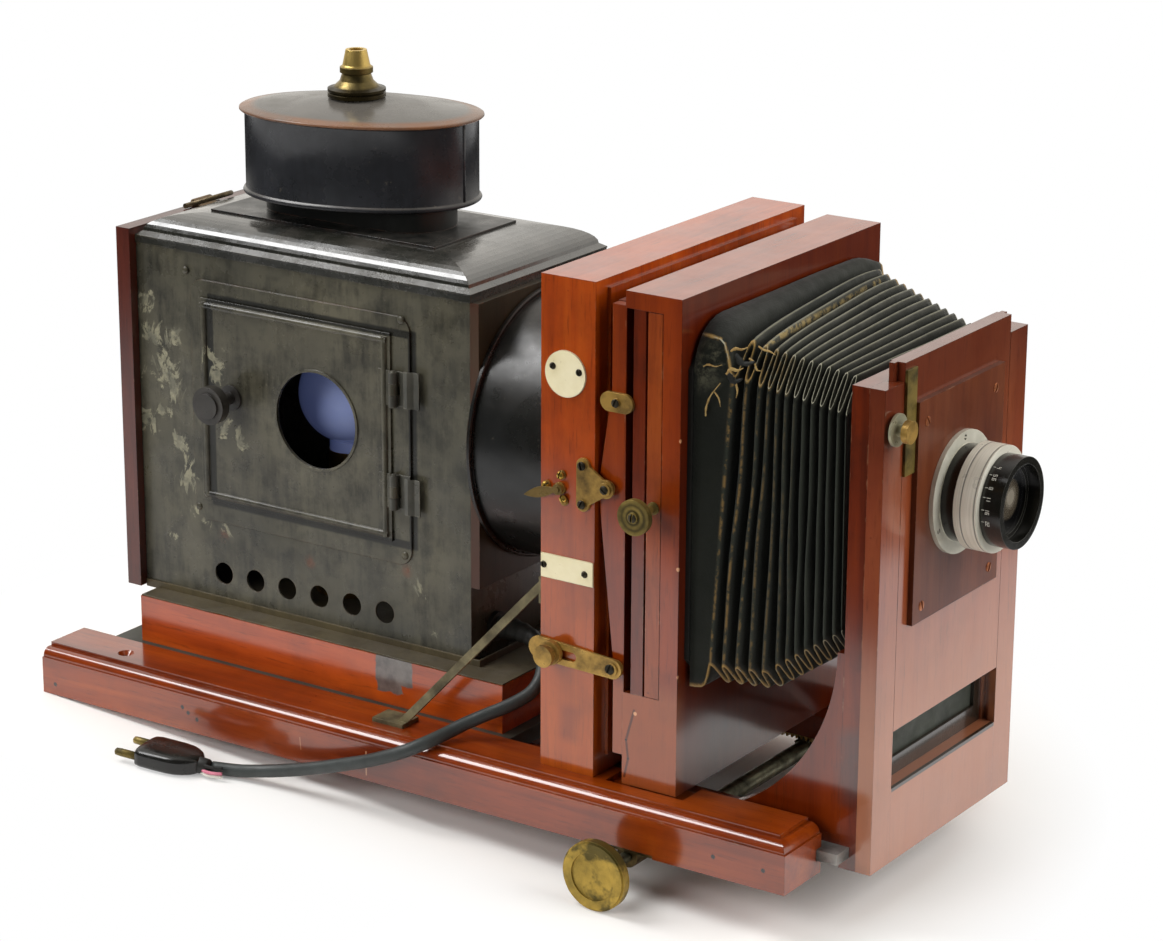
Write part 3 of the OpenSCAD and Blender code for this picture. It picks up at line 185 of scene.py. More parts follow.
class Shader(Nodes):
    """A Principled material in the frame's coordinates. colour is what has been painted so far."""

    def __init__(self, name, **sockets):
        MATERIALS[name] = material = bpy.data.materials.new(name)
        material.use_nodes = True
        super().__init__(material.node_tree)
        self.bsdf = self.tree.nodes["Principled BSDF"]
        self.facing = self.node("NewGeometry", out="Normal")
        for socket, value in sockets.items():
            self.set(socket.replace("_", " "), value)

    def set(self, name, value):
        self.feed(self.bsdf.inputs[name], value)

    def paint(self, colour, *shares):
        """A layer of a colour over the others. Its masks and shares are multiplied."""
        self.colour = self.mix(self.times(*shares), self.colour, colour)

    def finish(self, rough, height, depth, strength, rounding=None):
        """Sets the colour, the roughness and a bump, over edges rounded in the shading only."""
        normal = self.rounded(rounding) if rounding else None
        bump = {"Strength": strength, "Distance": depth * MM, "Height": height, "Normal": normal}
        self.set("Base Color", self.colour)
        self.set("Roughness", rough)
        self.set("Normal", self.node("Bump", bump))

    def normal(self, name):
        """How far a face looks along an axis."""
        return self.axis(name, self.facing)

    def scaled(self, *factors):
        return self.vector("MULTIPLY", self.place, factors)

    def noise(self, scale, detail=4, rough=0.55, source=None, bend=0):
        values = {"Scale": scale, "Detail": detail, "Roughness": rough, "Distortion": bend}
        return self.node("TexNoise", {"Vector": source or self.place, **values}, "Fac")

    def cloud(self, grain, *levels):
        """Noise between two levels. grain is its scale, detail and roughness."""
        return self.span(self.noise(*grain), *levels)

    def ramp(self, value, stops):
        """Three colours by the value."""
        out = self.node("ValToRGB", (value,))
        elements = out.node.color_ramp.elements
        elements.new(0.5)
        for element, (position, colour) in zip(elements, stops):
            element.position = position
            element.color = rgb(colour)
        return out

    def rounded(self, radius):
        return self.node("Bevel", {"Radius": radius * MM}, samples=4)

    def edge(self, radius, gain):
        """1 on outer and inner edges, 0 on open faces."""
        same = self.vector("DOT_PRODUCT", self.rounded(radius), self.facing, "Value")
        return self.span(same, 1, 1 - 1 / gain)

    def rise(self, axis, start, end, to_low=0, to_high=1, wander=0):
        """From to_low to to_high between two places on an axis."""
        value = self.math("ADD", self.axis(axis), wander)
        return self.span(value, (start + ZERO[axis]) * MM, (end + ZERO[axis]) * MM, to_low, to_high)

    def spot(self, x, y, z, radius, soft=0.5):
        """1 inside a ball, 0 outside it."""
        far = self.vector("DISTANCE", self.place, at(x, y, z), "Value")
        return self.span(far, radius * MM, radius * MM * (1 - soft))

    def patch(self, soft, ragged=0, scale=120, **ranges):
        """1 inside ranges of x, y and z, 0 outside them. ragged is how far the edges wander."""
        wander = self.times(self.math("SUBTRACT", self.noise(scale, 4, 0.6), 0.5), 2 * ragged * MM)
        mask = 1
        for axis, (low, high) in ranges.items():
            for start, end in ((low - soft, low + soft), (high + soft, high - soft)):
                mask = self.times(mask, self.rise(axis, start, end, wander=wander))
        return mask

    def stroke(self, a, b, width):
        """1 along a line between two points."""
        start, way = at(*a), at(*b) - at(*a)
        off = self.vector("SUBTRACT", self.place, start)
        along = self.span(self.vector("DOT_PRODUCT", off, way, "Value"), 0, way.length_squared)
        foot = self.node("VectorMath", {0: way, "Scale": along}, operation="SCALE")
        return self.span(self.vector("DISTANCE", off, foot, "Value"), width * MM, 0.4 * width * MM)


# ---- wood
GRAIN = {"X": (5, 70, 70), "Y": (70, 5, 70), "Z": (70, 70, 5)}


def wood(name, tones, grain="ZY", gloss=0.14, coat=1, wear=0.6, stain=0.3, marks=None):
    """Old French polished mahogany. grain is its axis, then its axis on faces that look up or down."""
    s = Shader(name, Coat_Weight=coat, Coat_Roughness=gloss, Coat_IOR=1.8, Specular_IOR_Level=0.12)
    space = s.scaled(*GRAIN[grain[0]])
    if len(grain) > 1:
        level = s.math("GREATER_THAN", s.math("ABSOLUTE", s.normal("z")), 0.7)
        space = s.node("Mix", {0: level, 4: space, 5: s.scaled(*GRAIN[grain[1]])}, 1, data_type="VECTOR")
    ribbon = s.noise(1, 6, 0.6, space, 0.6)
    pores = s.noise(9, 3, 0.7, space)
    tone = s.math("ADD", s.times(ribbon, 0.62), s.times(s.noise(9, 3, 0.5), 0.42))
    s.colour = s.ramp(tone, zip((0.36, 0.52, 0.70), tones.split()))
    s.paint("2c0e05", s.span(pores, 0.56, 0.74, 0, 0.5))
    s.paint("261009", s.cloud((26, 5, 0.65), 0.5, 0.72), stain)
    dents = s.span(s.node("TexVoronoi", {"Vector": s.place, "Scale": 120}, "Distance"), 0.10, 0.04)
    s.paint("1a0a06", dents, s.cloud((15, 2), 0.55, 0.7), 0.7)
    edge = s.edge(1.1, 3)
    s.paint("200d07", edge, s.cloud((60, 4, 0.7), 0.42, 0.62), wear)
    s.paint("b98a66", edge, s.cloud((85, 4, 0.7), 0.56, 0.66), 0.6)
    if marks:
        marks(s)
    relief = s.math("ADD", s.times(ribbon, 0.5), s.times(pores, 0.4))
    s.finish(s.cloud((30, 4), 0.3, 0.75, 0.32, 0.55), relief, 0.2, 0.45, 0.7)


def holes(s, places, radius, tint="120705"):
    for place in places:
        s.paint(tint, s.spot(*place, radius, 0.35))


def rail_marks(s):
    """Nail holes, two scratches and a reddish stain on the near rail."""
    places = [(9.5, 6.6), (106.9, 14.1), (111, 11.5), (117.5, 8.7), (464.8, 11.2), (495.1, 11)]
    holes(s, [(x, RAIL_Y, z) for x, z in places], 1.5)
    s.paint("d9a37c", s.stroke((238.9, RAIL_Y, 17.3), (238.9, RAIL_Y, 3.5), 0.5), 0.7)
    s.paint("c98f66", s.stroke((192.4, RAIL_Y, 15), (193, RAIL_Y, 8), 0.4), 0.6)
    s.paint("3a120a", s.patch(9, 14, 26, x=(60, 260), y=(-123, -120), z=(-1, 14)), 0.45)


def plinth_marks(s):
    """A patch of old grey tape."""
    tape = s.patch(0.4, 1.2, 160, x=(215.5, 241), z=(42, 58))
    tail = s.patch(0.4, 3.2, 110, x=(217, 234), z=(36.5, 45))
    cloth = s.mix(s.cloud((130, 4), 0.35, 0.65), "4b4744", "6a655f")
    s.paint(cloth, s.most(tape, tail), 0.97)


def frame_marks(s):
    """Purple brown stains low on the near face, and a lighter, yellower lower half painted as a reflection of
    the white floor.
    """
    # painted reflection of the white floor: lighter and yellower towards the bottom
    s.paint("a85e20", s.rise("z", 230, 60, 0, 0.3))
    s.paint("47211f", s.patch(3, 3, 60, x=(357, 369), y=(-106, -102), z=(47, 67)), 0.55)
    s.paint("5c150a", s.patch(3, 3, 80, x=(353, 368), y=(-106, -102), z=(97, 103)), 0.7)


def stage_marks(s):
    """Darker than the condenser frame, with a crack, pale chips, a near black red front that is painted shade,
    and a lighter patch low on the near face that is a painted reflection of the floor.
    """
    s.paint("5a1a07", 0.3)
    # painted shade: faces looking ahead are made near black red
    s.paint("400d04", s.math("GREATER_THAN", s.normal("x"), 0.7), 0.72)
    # painted reflection of the white floor: a lighter patch low on the near face
    s.paint("a35f38", s.patch(6, y=(-108, -98), z=(20, 86)), 0.5)
    crack = ((401.8, 71.6), (396.9, 54), (398.3, 43.5), (396, 33))
    for (x1, z1), (x2, z2) in zip(crack, crack[1:]):
        s.paint("2c0c06", s.stroke((x1, STAGE_Y, z1), (x2, STAGE_Y, z2), 1), 0.75)
    chips = [(428, STAGE_Y, 155.5), (428.7, STAGE_Y, 224.9), (429, -101, 96), (402.5, STAGE_Y, 70)]
    holes(s, chips, 1.3, "d49a6e")


JOINTS = ((42, 250, 39, -2), (-57, 60, -53, -2), (39, 130, 39, 20))  # ends of the glue lines: y, z, y, z
JOINT_FACES = (537.2, 541.8)


def front_marks(s):
    """Joint lines of the glued strips, small nails, darker towards the top, and a lighter foot that is a
    painted reflection of the white floor.
    """
    # darker towards the top
    s.paint("3f0e05", s.rise("z", 190, 262, 0, 0.6))
    # painted reflection of the white floor: lighter towards the foot
    s.paint("b5805e", s.rise("z", 150, 70, 0, 0.4))
    lines = [s.stroke((x, y1, z1), (x, y2, z2), 0.5) for y1, z1, y2, z2 in JOINTS for x in JOINT_FACES]
    s.paint("2a0d07", s.most(*lines), 0.8)
    holes(s, [(541.8, -31.5, 122.9), (541.8, -39.5, 118.2), (541.8, 46.9, 110)], 1.1)
    dark_window_ledges(s, (531, 540), (41, 44.5))


def worn_edge(s):
    """The paint has gone from the near edge of the board."""
    s.paint("43281c", s.math("LESS_THAN", s.normal("y"), -0.7), s.cloud((50, 4), 0.3, 0.6, 0.4, 1))


def dark_window_ledges(s, x, z):
    """The ledges of the window in the lower board are made near black."""
    s.paint("1f211b", s.patch(0.3, x=x, y=(-57, 57), z=z), 0.92)


def dark_marks(s):
    """A grey blue stain on the near post of the front standard, and near black ledges inside its window."""
    dark_window_ledges(s, (519, 533.2), (41, 95))
    s.paint("3b3a3c", s.patch(4, 5, 60, x=(512, 525), y=(-84, -70), z=(38, 78)), 0.5)


# ---- iron
DOOR = {"x": (91.6, 228.8), "z": (122.2, 239.4)}
DOOR_HOLE = {"x": (86.8, 233.6), "z": (117.4, 243.8)}
SCUFFS = (
    (38, 232, 9), (44, 214, 10), (50, 197, 11), (57, 212, 8), (56, 184, 10), (49, 168, 7), (39, 160, 7),
    (36, 190, 8), (62, 150, 7), (67, 129, 9), (68, 141, 6), (90, 209, 8), (92, 197, 8), (100, 165, 8),
    (110, 162, 6), (73, 110, 5), (80, 106, 5), (92, 101, 7), (56, 92, 4), (236, 96, 5), (245, 70, 4),
)  # x, z and radius of the rubbed places on the near wall and the door
SCRATCHES = ((66, 116, 78, 105), (100, 101, 120, 97), (109, 184, 113, 193), (176, 138, 177, 129))


def iron(name, base, brown, gloss, rust, dust=0.3, edge="5a3722", mottle=0.4, marks=None, lid=None, **sockets):
    """Black stoved iron sheet with brown edges, dust and rubbed places."""
    s = Shader(name, **sockets)
    s.colour = s.mix(s.cloud((14, 5, 0.6), 0.3, 0.7), base, brown)
    s.paint(edge, s.edge(1.3, 3), s.cloud((55, 5, 0.7), 0.42, 0.6), rust)
    streaks = s.noise(1, 6, 0.75, s.scaled(190, 190, 26))
    uneven = s.math("ADD", s.times(s.noise(52, 7, 0.75), 0.6), s.times(streaks, 0.4))
    s.paint("0d0e0c", s.span(uneven, 0.46, 0.62, 0, mottle))
    s.paint("7a7262", s.cloud((240, 4, 0.7), 0.64, 0.72), s.cloud((20, 3), 0.48, 0.66), 0.5)
    if marks:
        marks(s)
    s.paint("77716a", s.span(s.normal("z"), 0.3, 1), s.cloud((38, 5, 0.7), 0.35, 0.75), dust)
    if lid:
        lid(s)
    s.set("Coat Roughness", s.cloud((70, 6, 0.75), 0.35, 0.7, 0.08, 0.4))
    relief = s.math("ADD", s.noise(22, 3), s.times(s.noise(300, 3, 0.6), 0.16))
    s.finish(s.cloud((34, 5, 0.65), 0.3, 0.75, gloss - 0.1, gloss + 0.2), relief, 0.5, 0.5, 0.6)


def wall_marks(s):
    """Painted shade: a dark band over the gap round the door. Patches where the paint has rubbed off, rust and
    scratches.
    """
    # painted shade: a near black band over the gap between the door and the wall
    gap = s.math("SUBTRACT", s.patch(0.6, **DOOR_HOLE), s.patch(0.4, **DOOR))
    gap = s.times(gap, s.math("LESS_THAN", s.normal("y"), 0.3))
    s.paint("0b0c0a", s.span(gap, 0, 1), 0.85)
    ball = s.most(*[s.spot(x, WALL_Y, z, 1.5 * radius, 0.8) for x, z, radius in SCUFFS])
    flakes = s.noise(1, 6, 0.72, s.scaled(95, 60, 55), 1)
    torn = s.span(s.math("ADD", flakes, s.times(ball, 0.17)), 0.625, 0.66)
    tint = s.mix(s.cloud((150, 3), 0.4, 0.6), "5f5d4f", "827e68")
    s.paint(tint, torn, s.span(ball, 0.02, 0.25), s.math("LESS_THAN", s.normal("y"), -0.5))
    s.paint("6a6a62", s.rise("x", 110, 30), s.span(flakes, 0.6, 0.68), 0.35)
    for x, z in ((93, 99), (157, 96), (226, 104)):
        s.paint("6b3a22", s.spot(x, WALL_Y, z, 5, 0.9), s.cloud((160, 4), 0.4, 0.6), 0.8)
    for x1, z1, x2, z2 in SCRATCHES:
        s.paint("8d8b7c", s.stroke((x1, WALL_Y, z1), (x2, WALL_Y, z2), 0.8), 0.6)


def lid_marks(s):
    """Grey brown dust all over the lid of the cowl, rust along its rim."""
    s.paint("5f5b55", s.span(s.normal("z"), 0.55, 0.9), s.cloud((22, 4), 0.3, 0.7, 0.6, 0.92))
    rim = s.patch(0.4, z=(COWL_LID - 0.5, COWL_LID + 2.6))
    s.paint("7a5236", rim, s.cloud((30, 5), 0.3, 0.6, 0.35, 0.95))


# ---- bare metal
def metal(name, bright, dark, tarnish, gloss, solid=0.85, marks=None):
    """A bright base under brown tarnish, rubbed brighter on its edges."""
    s = Shader(name, Metallic=solid)
    patches = s.cloud((75, 5, 0.62), 0.5 - 0.2 * tarnish, 0.78 - 0.2 * tarnish)
    s.colour = s.mix(patches, bright, dark)
    s.paint(bright, s.edge(0.7, 3), 0.4)
    if marks:
        marks(s)
    rough = s.span(s.math("ADD", s.noise(120, 4), s.times(patches, 0.3)), 0.3, 1, gloss - 0.1, gloss + 0.3)
    s.finish(rough, s.noise(420, 3, 0.6), 0.2, 0.3, 0.35)


def brass_marks(s):
    """The thumb lever is dark bronze, the disc under the rise screw is nickel."""
    s.paint("4d4226", s.patch(0.3, x=(335, 368), y=(-112, -107.4), z=(176, 200)), 0.75)
    s.paint("a9a890", s.patch(0.3, x=(534, 540), y=(-82, -54), z=(225, 260)), 0.85)


def ring_marks(s):
    """Turned grooves, black with polish, on the face of the carrier knob."""
    low, high = box("carrier_knob")
    middle, radius = near_face("carrier_knob"), (high.z - low.z) / 2
    rings = []
    for share in (0.42, 0.78):
        outer, inner = (s.spot(*middle, radius * share + grow, 0.2) for grow in (0.9, -0.5))
        rings.append(s.math("SUBTRACT", outer, inner))
    face = s.rise("y", low.y + 3, low.y + 2)
    s.paint("211c12", s.span(s.times(s.most(*rings), face), 0, 1), 0.8)


def gland_marks(s):
    """The tip is bright and the flange is nearly black."""
    low, high = (corner.z for corner in box("cowl_gland"))
    s.paint("d9bb6c", s.patch(0.8, z=(high - 9, high + 2)))
    s.paint("4b4630", s.patch(3, z=(low + 4, high - 12)), 0.45)
    s.paint("201d17", s.patch(0.8, z=(low - 2, low + 6)), 0.85)


def knob_marks(s):
    """Big patches of yellow lacquer on dark tarnish."""
    s.paint("4a4322", s.cloud((48, 4, 0.6), 0.47, 0.55), 0.85)


# ---- other materials
def plain(name, colour, other, rough=0.5, scale=60, bump=0.15, **sockets):
    s = Shader(name, **sockets)
    s.colour = s.mix(s.cloud((scale, 5, 0.6), 0.3, 0.7), colour, other)
    patchy = s.cloud((scale * 1.7, 3), 0.3, 0.7, rough - 0.08, rough + 0.12)
    s.finish(patchy, s.noise(scale * 6, 3), 0.3, bump, 0.4)


def ivory():
    """Ivory celluloid with a brown rim where it meets the wood."""
    s = Shader("ivorine")
    s.colour = s.mix(s.cloud((60, 5, 0.6), 0.3, 0.7), "ece2bf", "dccfa4")
    s.paint("8a6636", s.edge(0.9, 2), s.cloud((140, 4), 0.35, 0.6, 0.3, 0.9))
    s.paint("9a7c4a", s.cloud((330, 3), 0.68, 0.74), 0.5)
    s.finish(s.cloud((90, 4), 0.3, 0.7, 0.3, 0.45), s.noise(200, 3), 0.2, 0.1, 0.4)


def condenser_glass():
    s = Shader("condenser_glass", IOR=1.52, Transmission_Weight=1, Specular_IOR_Level=0.5)
    s.set("Base Color", "dfeceb")
    s.set("Roughness", s.cloud((40, 2), 0.4, 0.8, 0.03, 0.07))


def lens_face():
    """The bloomed front glass: a painted warm glint in the middle, near black round it for the dark cell
    behind.
    """
    s = Shader("lens_glass", Coat_Weight=1, Coat_IOR=1.7, Coat_Roughness=0.02)
    x = box("lens_glass")[1].x
    # painted highlight: a warm glint in the middle of the glass
    middle = s.spot(x, 0.5, LENS_Z + 0.5, 11.5, 0.3)
    s.colour = s.mix(middle, "0a0a0b", "6c6253")
    # painted highlight: the bright core of the glint
    s.paint("c2b8a6", s.spot(x, 2.5, LENS_Z + 1, 6.5, 0.5))
    s.set("Metallic", s.times(middle, 0.55))
    s.finish(0.06, s.noise(30, 2), 0.1, 0.05)


def barrel():
    """Black enamelled brass tube on a satin silver flange."""
    s = Shader("lens_black")
    s.colour = s.mix(s.cloud((70, 5), 0.35, 0.7), "e6e2d2", "cbc8b8")
    s.paint("7d6a4c", s.edge(0.6, 2.5), s.cloud((160, 4), 0.4, 0.6))
    silver = s.colour
    s.colour = s.mix(s.cloud((90, 4), 0.3, 0.7), "131310", "1d1c18")
    s.paint("6e6c66", s.edge(0.5, 2.5), 0.5)
    flange = s.math("LESS_THAN", s.axis("x"), at(FLANGE_X, 0, 0).x)
    s.paint(silver, flange)
    s.set("Metallic", s.times(flange, 0.25))
    s.finish(s.cloud((120, 3), 0.3, 0.7, 0.16, 0.26), s.noise(500, 3), 0.1, 0.1, 0.35)


def turned_silver():
    """Satin silver ring with fine turning lines, stepped by two darker grooves."""
    s = Shader("lens_silver", Metallic=0.15)
    lines = s.noise(1, 3, 0.6, s.scaled(2600, 20, 20))
    s.colour = s.mix(s.span(lines, 0.35, 0.65), "f4f0e2", "dedaca")
    groove = s.most(*[s.patch(0.15, x=(x - 0.35, x + 0.35)) for x in GROOVES_X])
    s.paint("45433c", groove, 0.75)
    relief = s.math("ADD", lines, s.times(groove, -4))
    s.finish(s.cloud((100, 3), 0.3, 0.7, 0.26, 0.38), relief, 0.2, 0.5, 0.35)


METALS = (
    ("ring_iron", "8a7a5e", "3d3328", 0.6, 0.4),
    ("brass", "b8924a", "66502a", 0.5, 0.3, 0.5, brass_marks),
    ("old_brass", "947f42", "4c4222", 0.65, 0.34, 0.55, ring_marks),
    ("knob_brass", "b99a45", "8a7536", 0.5, 0.42, 0.65, knob_marks),
    ("gland_brass", "a08a50", "54482a", 0.6, 0.3, 0.85, gland_marks),
    ("holder_brass", "b08a48", "64502c", 0.5, 0.35),
    ("cell_metal", "5a4c30", "2a241a", 0.6, 0.4),
    ("stay_metal", "7c7254", "463f2e", 0.6, 0.4, 0.4),
    ("bearing_metal", "6a5a38", "2f281b", 0.7, 0.45),
    ("shaft_metal", "7c7a64", "3a382c", 0.6, 0.4),
    ("steel", "a5a7a4", "6c6e6a", 0.4, 0.4, 0.7),
    ("red_copper", "c07a52", "8a4a2c", 0.4, 0.35),
    ("bright_brass", "d8b255", "a8822f", 0.3, 0.25),
    ("dark_screw", "4a4436", "211d17", 0.6, 0.4, 0.6),
)  # name, bright and dark colour, tarnish, roughness, how metallic, marks
PLAINS = (
    ("stained_board", "24241d", "3a392f", 0.55, 30),
    ("black_board", "131311", "1f1f1c", 0.7, 40),
    ("inner_black", "22251f", "363a31", 0.55, 60, 0.4),
    ("bellows_cloth", "1c1d1b", "262724", 0.6, 90),
    ("black_rubber", "141412", "1f1e1b", 0.55),
    ("cord_rubber", "2a2d2c", "3c403f", 0.5, 70),
    ("plug_bakelite", "141413", "201f1c", 0.2, 80, 0.1),
    ("pull_black", "2b2927", "3a3733", 0.34, 90),
    ("leather", "5a4429", "7a6240", 0.6, 120, 0.4),
    ("tan_cloth", "8a6c3e", "b09660", 0.8, 150, 0.5),
    ("white_paint", "d8d6cc", "c6c4ba", 0.5, 150),
    ("core_pink", "c0657c", "d8879a", 0.45, 150),
)  # name, two colours, roughness, scale of the mottle, bump
OWN_FINISH = {
    "rail_far": "rear_rail", "plinth": "plinth_wood", "front_board": "front_board_wood",
    "back_board": "back_wood", "stage_frame": "stage_wood", "stage_cheeks": "stage_wood",
}  # nodes with marks or a tone of their own


def make_materials():
    wood("mahogany", "5a1b02 803004 984208", "X", marks=rail_marks)
    wood("mahogany_frame", "7c2804 a03e05 b8520c", marks=frame_marks)
    wood("mahogany_front", "78331c 864022 904a2a", stain=0.2, marks=front_marks)
    wood("mahogany_dark", "3f1103 652003 7c2e05", stain=0.4, marks=dark_marks)
    wood("carrier_wood", "6a2508 8c3d12 a5531f")
    wood("lens_board_wood", "4c1e0e 5e2c16 6e3a20", "Z", gloss=0.3, coat=0.35)
    wood("rear_rail", "5e1d02 8a3405 a4480a", "X")
    wood("back_wood", "2c110b 47190f 5c2618", gloss=0.2, coat=0.7, wear=0.8)
    wood("front_board_wood", "2c271c 3b3426 4a422f", gloss=0.3, coat=0.3, marks=worn_edge)
    wood("plinth_wood", "842e04 aa4406 c0580e", "X", marks=plinth_marks)
    wood("stage_wood", "742603 963a04 ac4c0a", marks=stage_marks)
    iron("black_iron", "101213", "1c1c1a", 0.28, 0.5)
    # The lamp wall and its door are a lighter grey olive than the other black iron; part of that lightness is
    # a painted reflection of the white floor on the black paint.
    iron("lamp_iron", "35342c", "595546", 0.28, 0.6, mottle=0.7, marks=wall_marks)
    iron("door_iron", "38362e", "5a5647", 0.28, 0.5, edge="77725f", mottle=0.7, marks=wall_marks)
    polish = {"Coat_Weight": 0.8, "Coat_IOR": 1.9}
    iron("roof_iron", "1a1b18", "2c2c26", 0.24, 0.4, 0.35, "7a6f4e", **polish)
    iron("cowl_iron", "212225", "2c2d30", 0.24, 0.6, 0.6, lid=lid_marks)
    iron("tray_metal", "443c2c", "5a5038", 0.5, 0.6, edge="7a6a48")
    iron("hinge_iron", "2e2e2a", "55534a", 0.3, 0.8, edge="8d8a78")
    for row in METALS:
        metal(*row)
    for row in PLAINS:
        plain(*row)
    # painted light: the unlit opal bulb glows faintly blue, standing for the light that reaches it through the
    # window
    painted_glow = {"Emission_Color": (0.2, 0.26, 0.62, 1), "Emission_Strength": 0.12}
    plain("opal_glass", "b4c4ff", "ccd8ff", 0.12, 20, 0.05, Coat_Weight=1, Coat_Roughness=0.03, **painted_glow)
    ivory()
    condenser_glass()
    lens_face()
    barrel()
    turned_silver()


def dress_frame():
    """Gives each CAD node the material of its slot in the record, or a finish of its own."""
    for part in frame["record"]["subparts"]:
        node = frame["nodes"][part["node"]]
        node.data.materials.clear()
        node.data.materials.append(MATERIALS[OWN_FINISH.get(part["node"], part["material_slot"])])


# ---- mesh kit
def new_mesh(name, points, faces, material, body=None, smooth=True):
    """A mesh object with one material, smooth or flat, hung on a body if one is given."""
    mesh = bpy.data.meshes.new(name)
    mesh.from_pydata([tuple(p) for p in points], [], faces)
    mesh.update()
    mesh.materials.append(MATERIALS[material])
    mesh.polygons.foreach_set("use_smooth", [smooth] * len(mesh.polygons))
    made = bpy.data.objects.new(name, mesh)
    bpy.context.scene.collection.objects.link(made)
    if body:
        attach(made, body)
    return made


def thicken(made, thickness, offset=-1):
    sheet = made.modifiers.new("sheet", "SOLIDIFY")
    sheet.thickness = thickness * MM
    sheet.offset = offset


def circle(sides):
    """Cosines and sines of evenly spaced angles."""
    turns = [2 * pi * k / sides for k in range(sides)]
    return [(cos(turn), sin(turn)) for turn in turns]


def power(value, exponent):
    """Squares the outline of a circle when the exponent is under 1."""
    return copysign(abs(value) ** exponent, value)


def ring_faces(rows, sides, ends=2, first=0):
    """Quads between closed rows of points, with both end faces, only the last one, or none."""
    loops = [[first + row * sides + k for k in range(sides)] for row in range(rows)]
    faces = []
    for a, b in zip(loops, loops[1:]):
        faces += zip(a, a[1:] + a[:1], b[1:] + b[:1], b)
    return faces + [loops[0][::-1], loops[-1]][2 - ends :]


def sheet_faces(rows, across, first=0):
    """Quads between open rows of points."""
    corners = [first + row * across + k for row in range(rows - 1) for k in range(across - 1)]
    return [(a, a + 1, a + across + 1, a + across) for a in corners]


def smooth_path(points, steps):
    """A Catmull-Rom line through the points."""
    p = [Vector(q) for q in points]
    p = [2 * p[0] - p[1], *p, 2 * p[-1] - p[-2]]
    line = []
    for i in range(1, len(p) - 2):
        a, b, c, d = p[i - 1 : i + 3]
        for k in range(steps):
            t = k / steps
            bend = (c - a) * t + (2 * a - 5 * b + 4 * c - d) * t**2 + (3 * b - a - 3 * c + d) * t**3
            line.append(0.5 * (2 * b + bend))
    return [*line, p[-2]]


def length_of(path):
    return sum((b - a).length for a, b in zip(path, path[1:]))


def way_at(path, i):
    return (path[min(i + 1, len(path) - 1)] - path[max(i - 1, 0)]).normalized()


def tube(name, path, radii, material, body, sides=20, smooth=True):
    """A closed tube along points in metres. radii is one value or one for each point, in millimetres."""
    if not isinstance(radii, (list, tuple)):
        radii = [radii] * len(path)
    side = way_at(path, 0).orthogonal()
    points = []
    for i, (place, radius) in enumerate(zip(path, radii)):
        way = way_at(path, i)
        side = (side - way * side.dot(way)).normalized()
        over = way.cross(side)
        points += [place + radius * MM * (c * side + s * over) for c, s in circle(sides)]
    return new_mesh(name, points, ring_faces(len(path), sides), material, body, smooth)


def screw(name, place, turn, radius, dome, axis=NEAR, body="base", material="dark_screw", slot_width=0.24):
    """A screw head: two domed halves with a straight slot between them, over a dark seat."""
    middle, ahead = at(*place), Vector(axis)
    side = Matrix.Rotation(radians(turn), 3, ahead) @ ahead.orthogonal().normalized()
    over = ahead.cross(side)
    cut = radius * slot_width
    rings, steps = 5, 14
    across = steps + 1
    points, faces = [], []
    for sign in (1, -1):
        first = len(points)
        for j in range(rings + 1):
            r = max(radius * (1 - j / rings), cut * 1.001)
            low = asin(cut / r)
            height = radius * (dome * sqrt(max(0, 1 - (r / radius) ** 2)) + 0.15)
            for k in range(across):
                angle = low + (pi - 2 * low) * k / steps
                spot = side * r * cos(angle) + over * sign * r * sin(angle)
                points.append(middle + (spot + ahead * height) * MM)
        rim = [first + k for k in range(across)]
        rim += [first + j * across + steps for j in range(1, rings + 1)]
        rim += [first + j * across for j in range(rings, 0, -1)]
        base, count = len(points), len(rim)
        for n in rim:
            drop = (points[n] - middle).dot(ahead) + 0.05 * radius * MM
            points.append(points[n] - ahead * drop)
        skirt = [(rim[k], base + k, base + (k + 1) % count, rim[(k + 1) % count]) for k in range(count)]
        faces += [quad[::sign] for quad in sheet_faces(rings + 1, across, first) + skirt]
    new_mesh(name, points, faces, material, body, smooth=False)
    seat = [middle + ahead * up * MM for up in (-0.2, 0.04 * radius)]
    tube(name + "_seat", seat, radius, "dark_screw", body, 32, False)


# ---- cord and plug
CORD_RADIUS = 3.7
CORD_ROUTE = (
    (273, -42, 74), (284, -42, 74), (295, -44, 73.2), (305, -49, 70.5), (312, -56, 65), (315.5, -64, 58.5),
    (315, -72, 53.2), (311, -79, 49.5), (305.5, -86, 46.2), (298, -92.5, 42.4), (290, -99, 38),
    (284.5, -107, 34.4), (281, -116, 32.4), (277, -124, 30.4), (270, -129.6, 27), (260, -132, 22.6),
    (248, -132.8, 17.6), (234, -133.2, 12.6), (220, -133.8, 7.8), (206, -134.8, 3.6), (192, -136.4, 0),
    (178, -139, -2.8), (164, -142.6, -4.6), (150, -147.6, -4.4),
)
PLUG_AT = (124, -154.5)
PLUG_TURN = radians(8)
PLUG_MIDDLE = 5.75  # height of the plug's middle over the floor
PLUG_STATIONS = (
    (-16.4, 9.4, 4), (-16, 11.8, 5), (-15, 13.2, 5.4), (-12, 13.9, 5.6), (-4, 13.9, 5.7), (5, 13.7, 5.7),
    (10, 12.9, 5.6), (14, 11, 5.4), (17.5, 8.4, 5.1), (19.5, 6, 4.7), (20.4, 4.6, 4.2), (20.8, 4, 3.6),
)  # place along the plug, half width, half height
CORES = (("core_pink", -4.3, 4.6), ("white_paint", -4, 2.6), ("black_rubber", -3.2, 7.4))  # tint, bow, height
SLEEVE_START = 275.6
SLEEVE_LENGTH = 31


def floor_point(x, y):
    """A point of the slope that the rear rail ends, the knobs and the plug stand on."""
    return at(x, y, -x * tan(TILT))


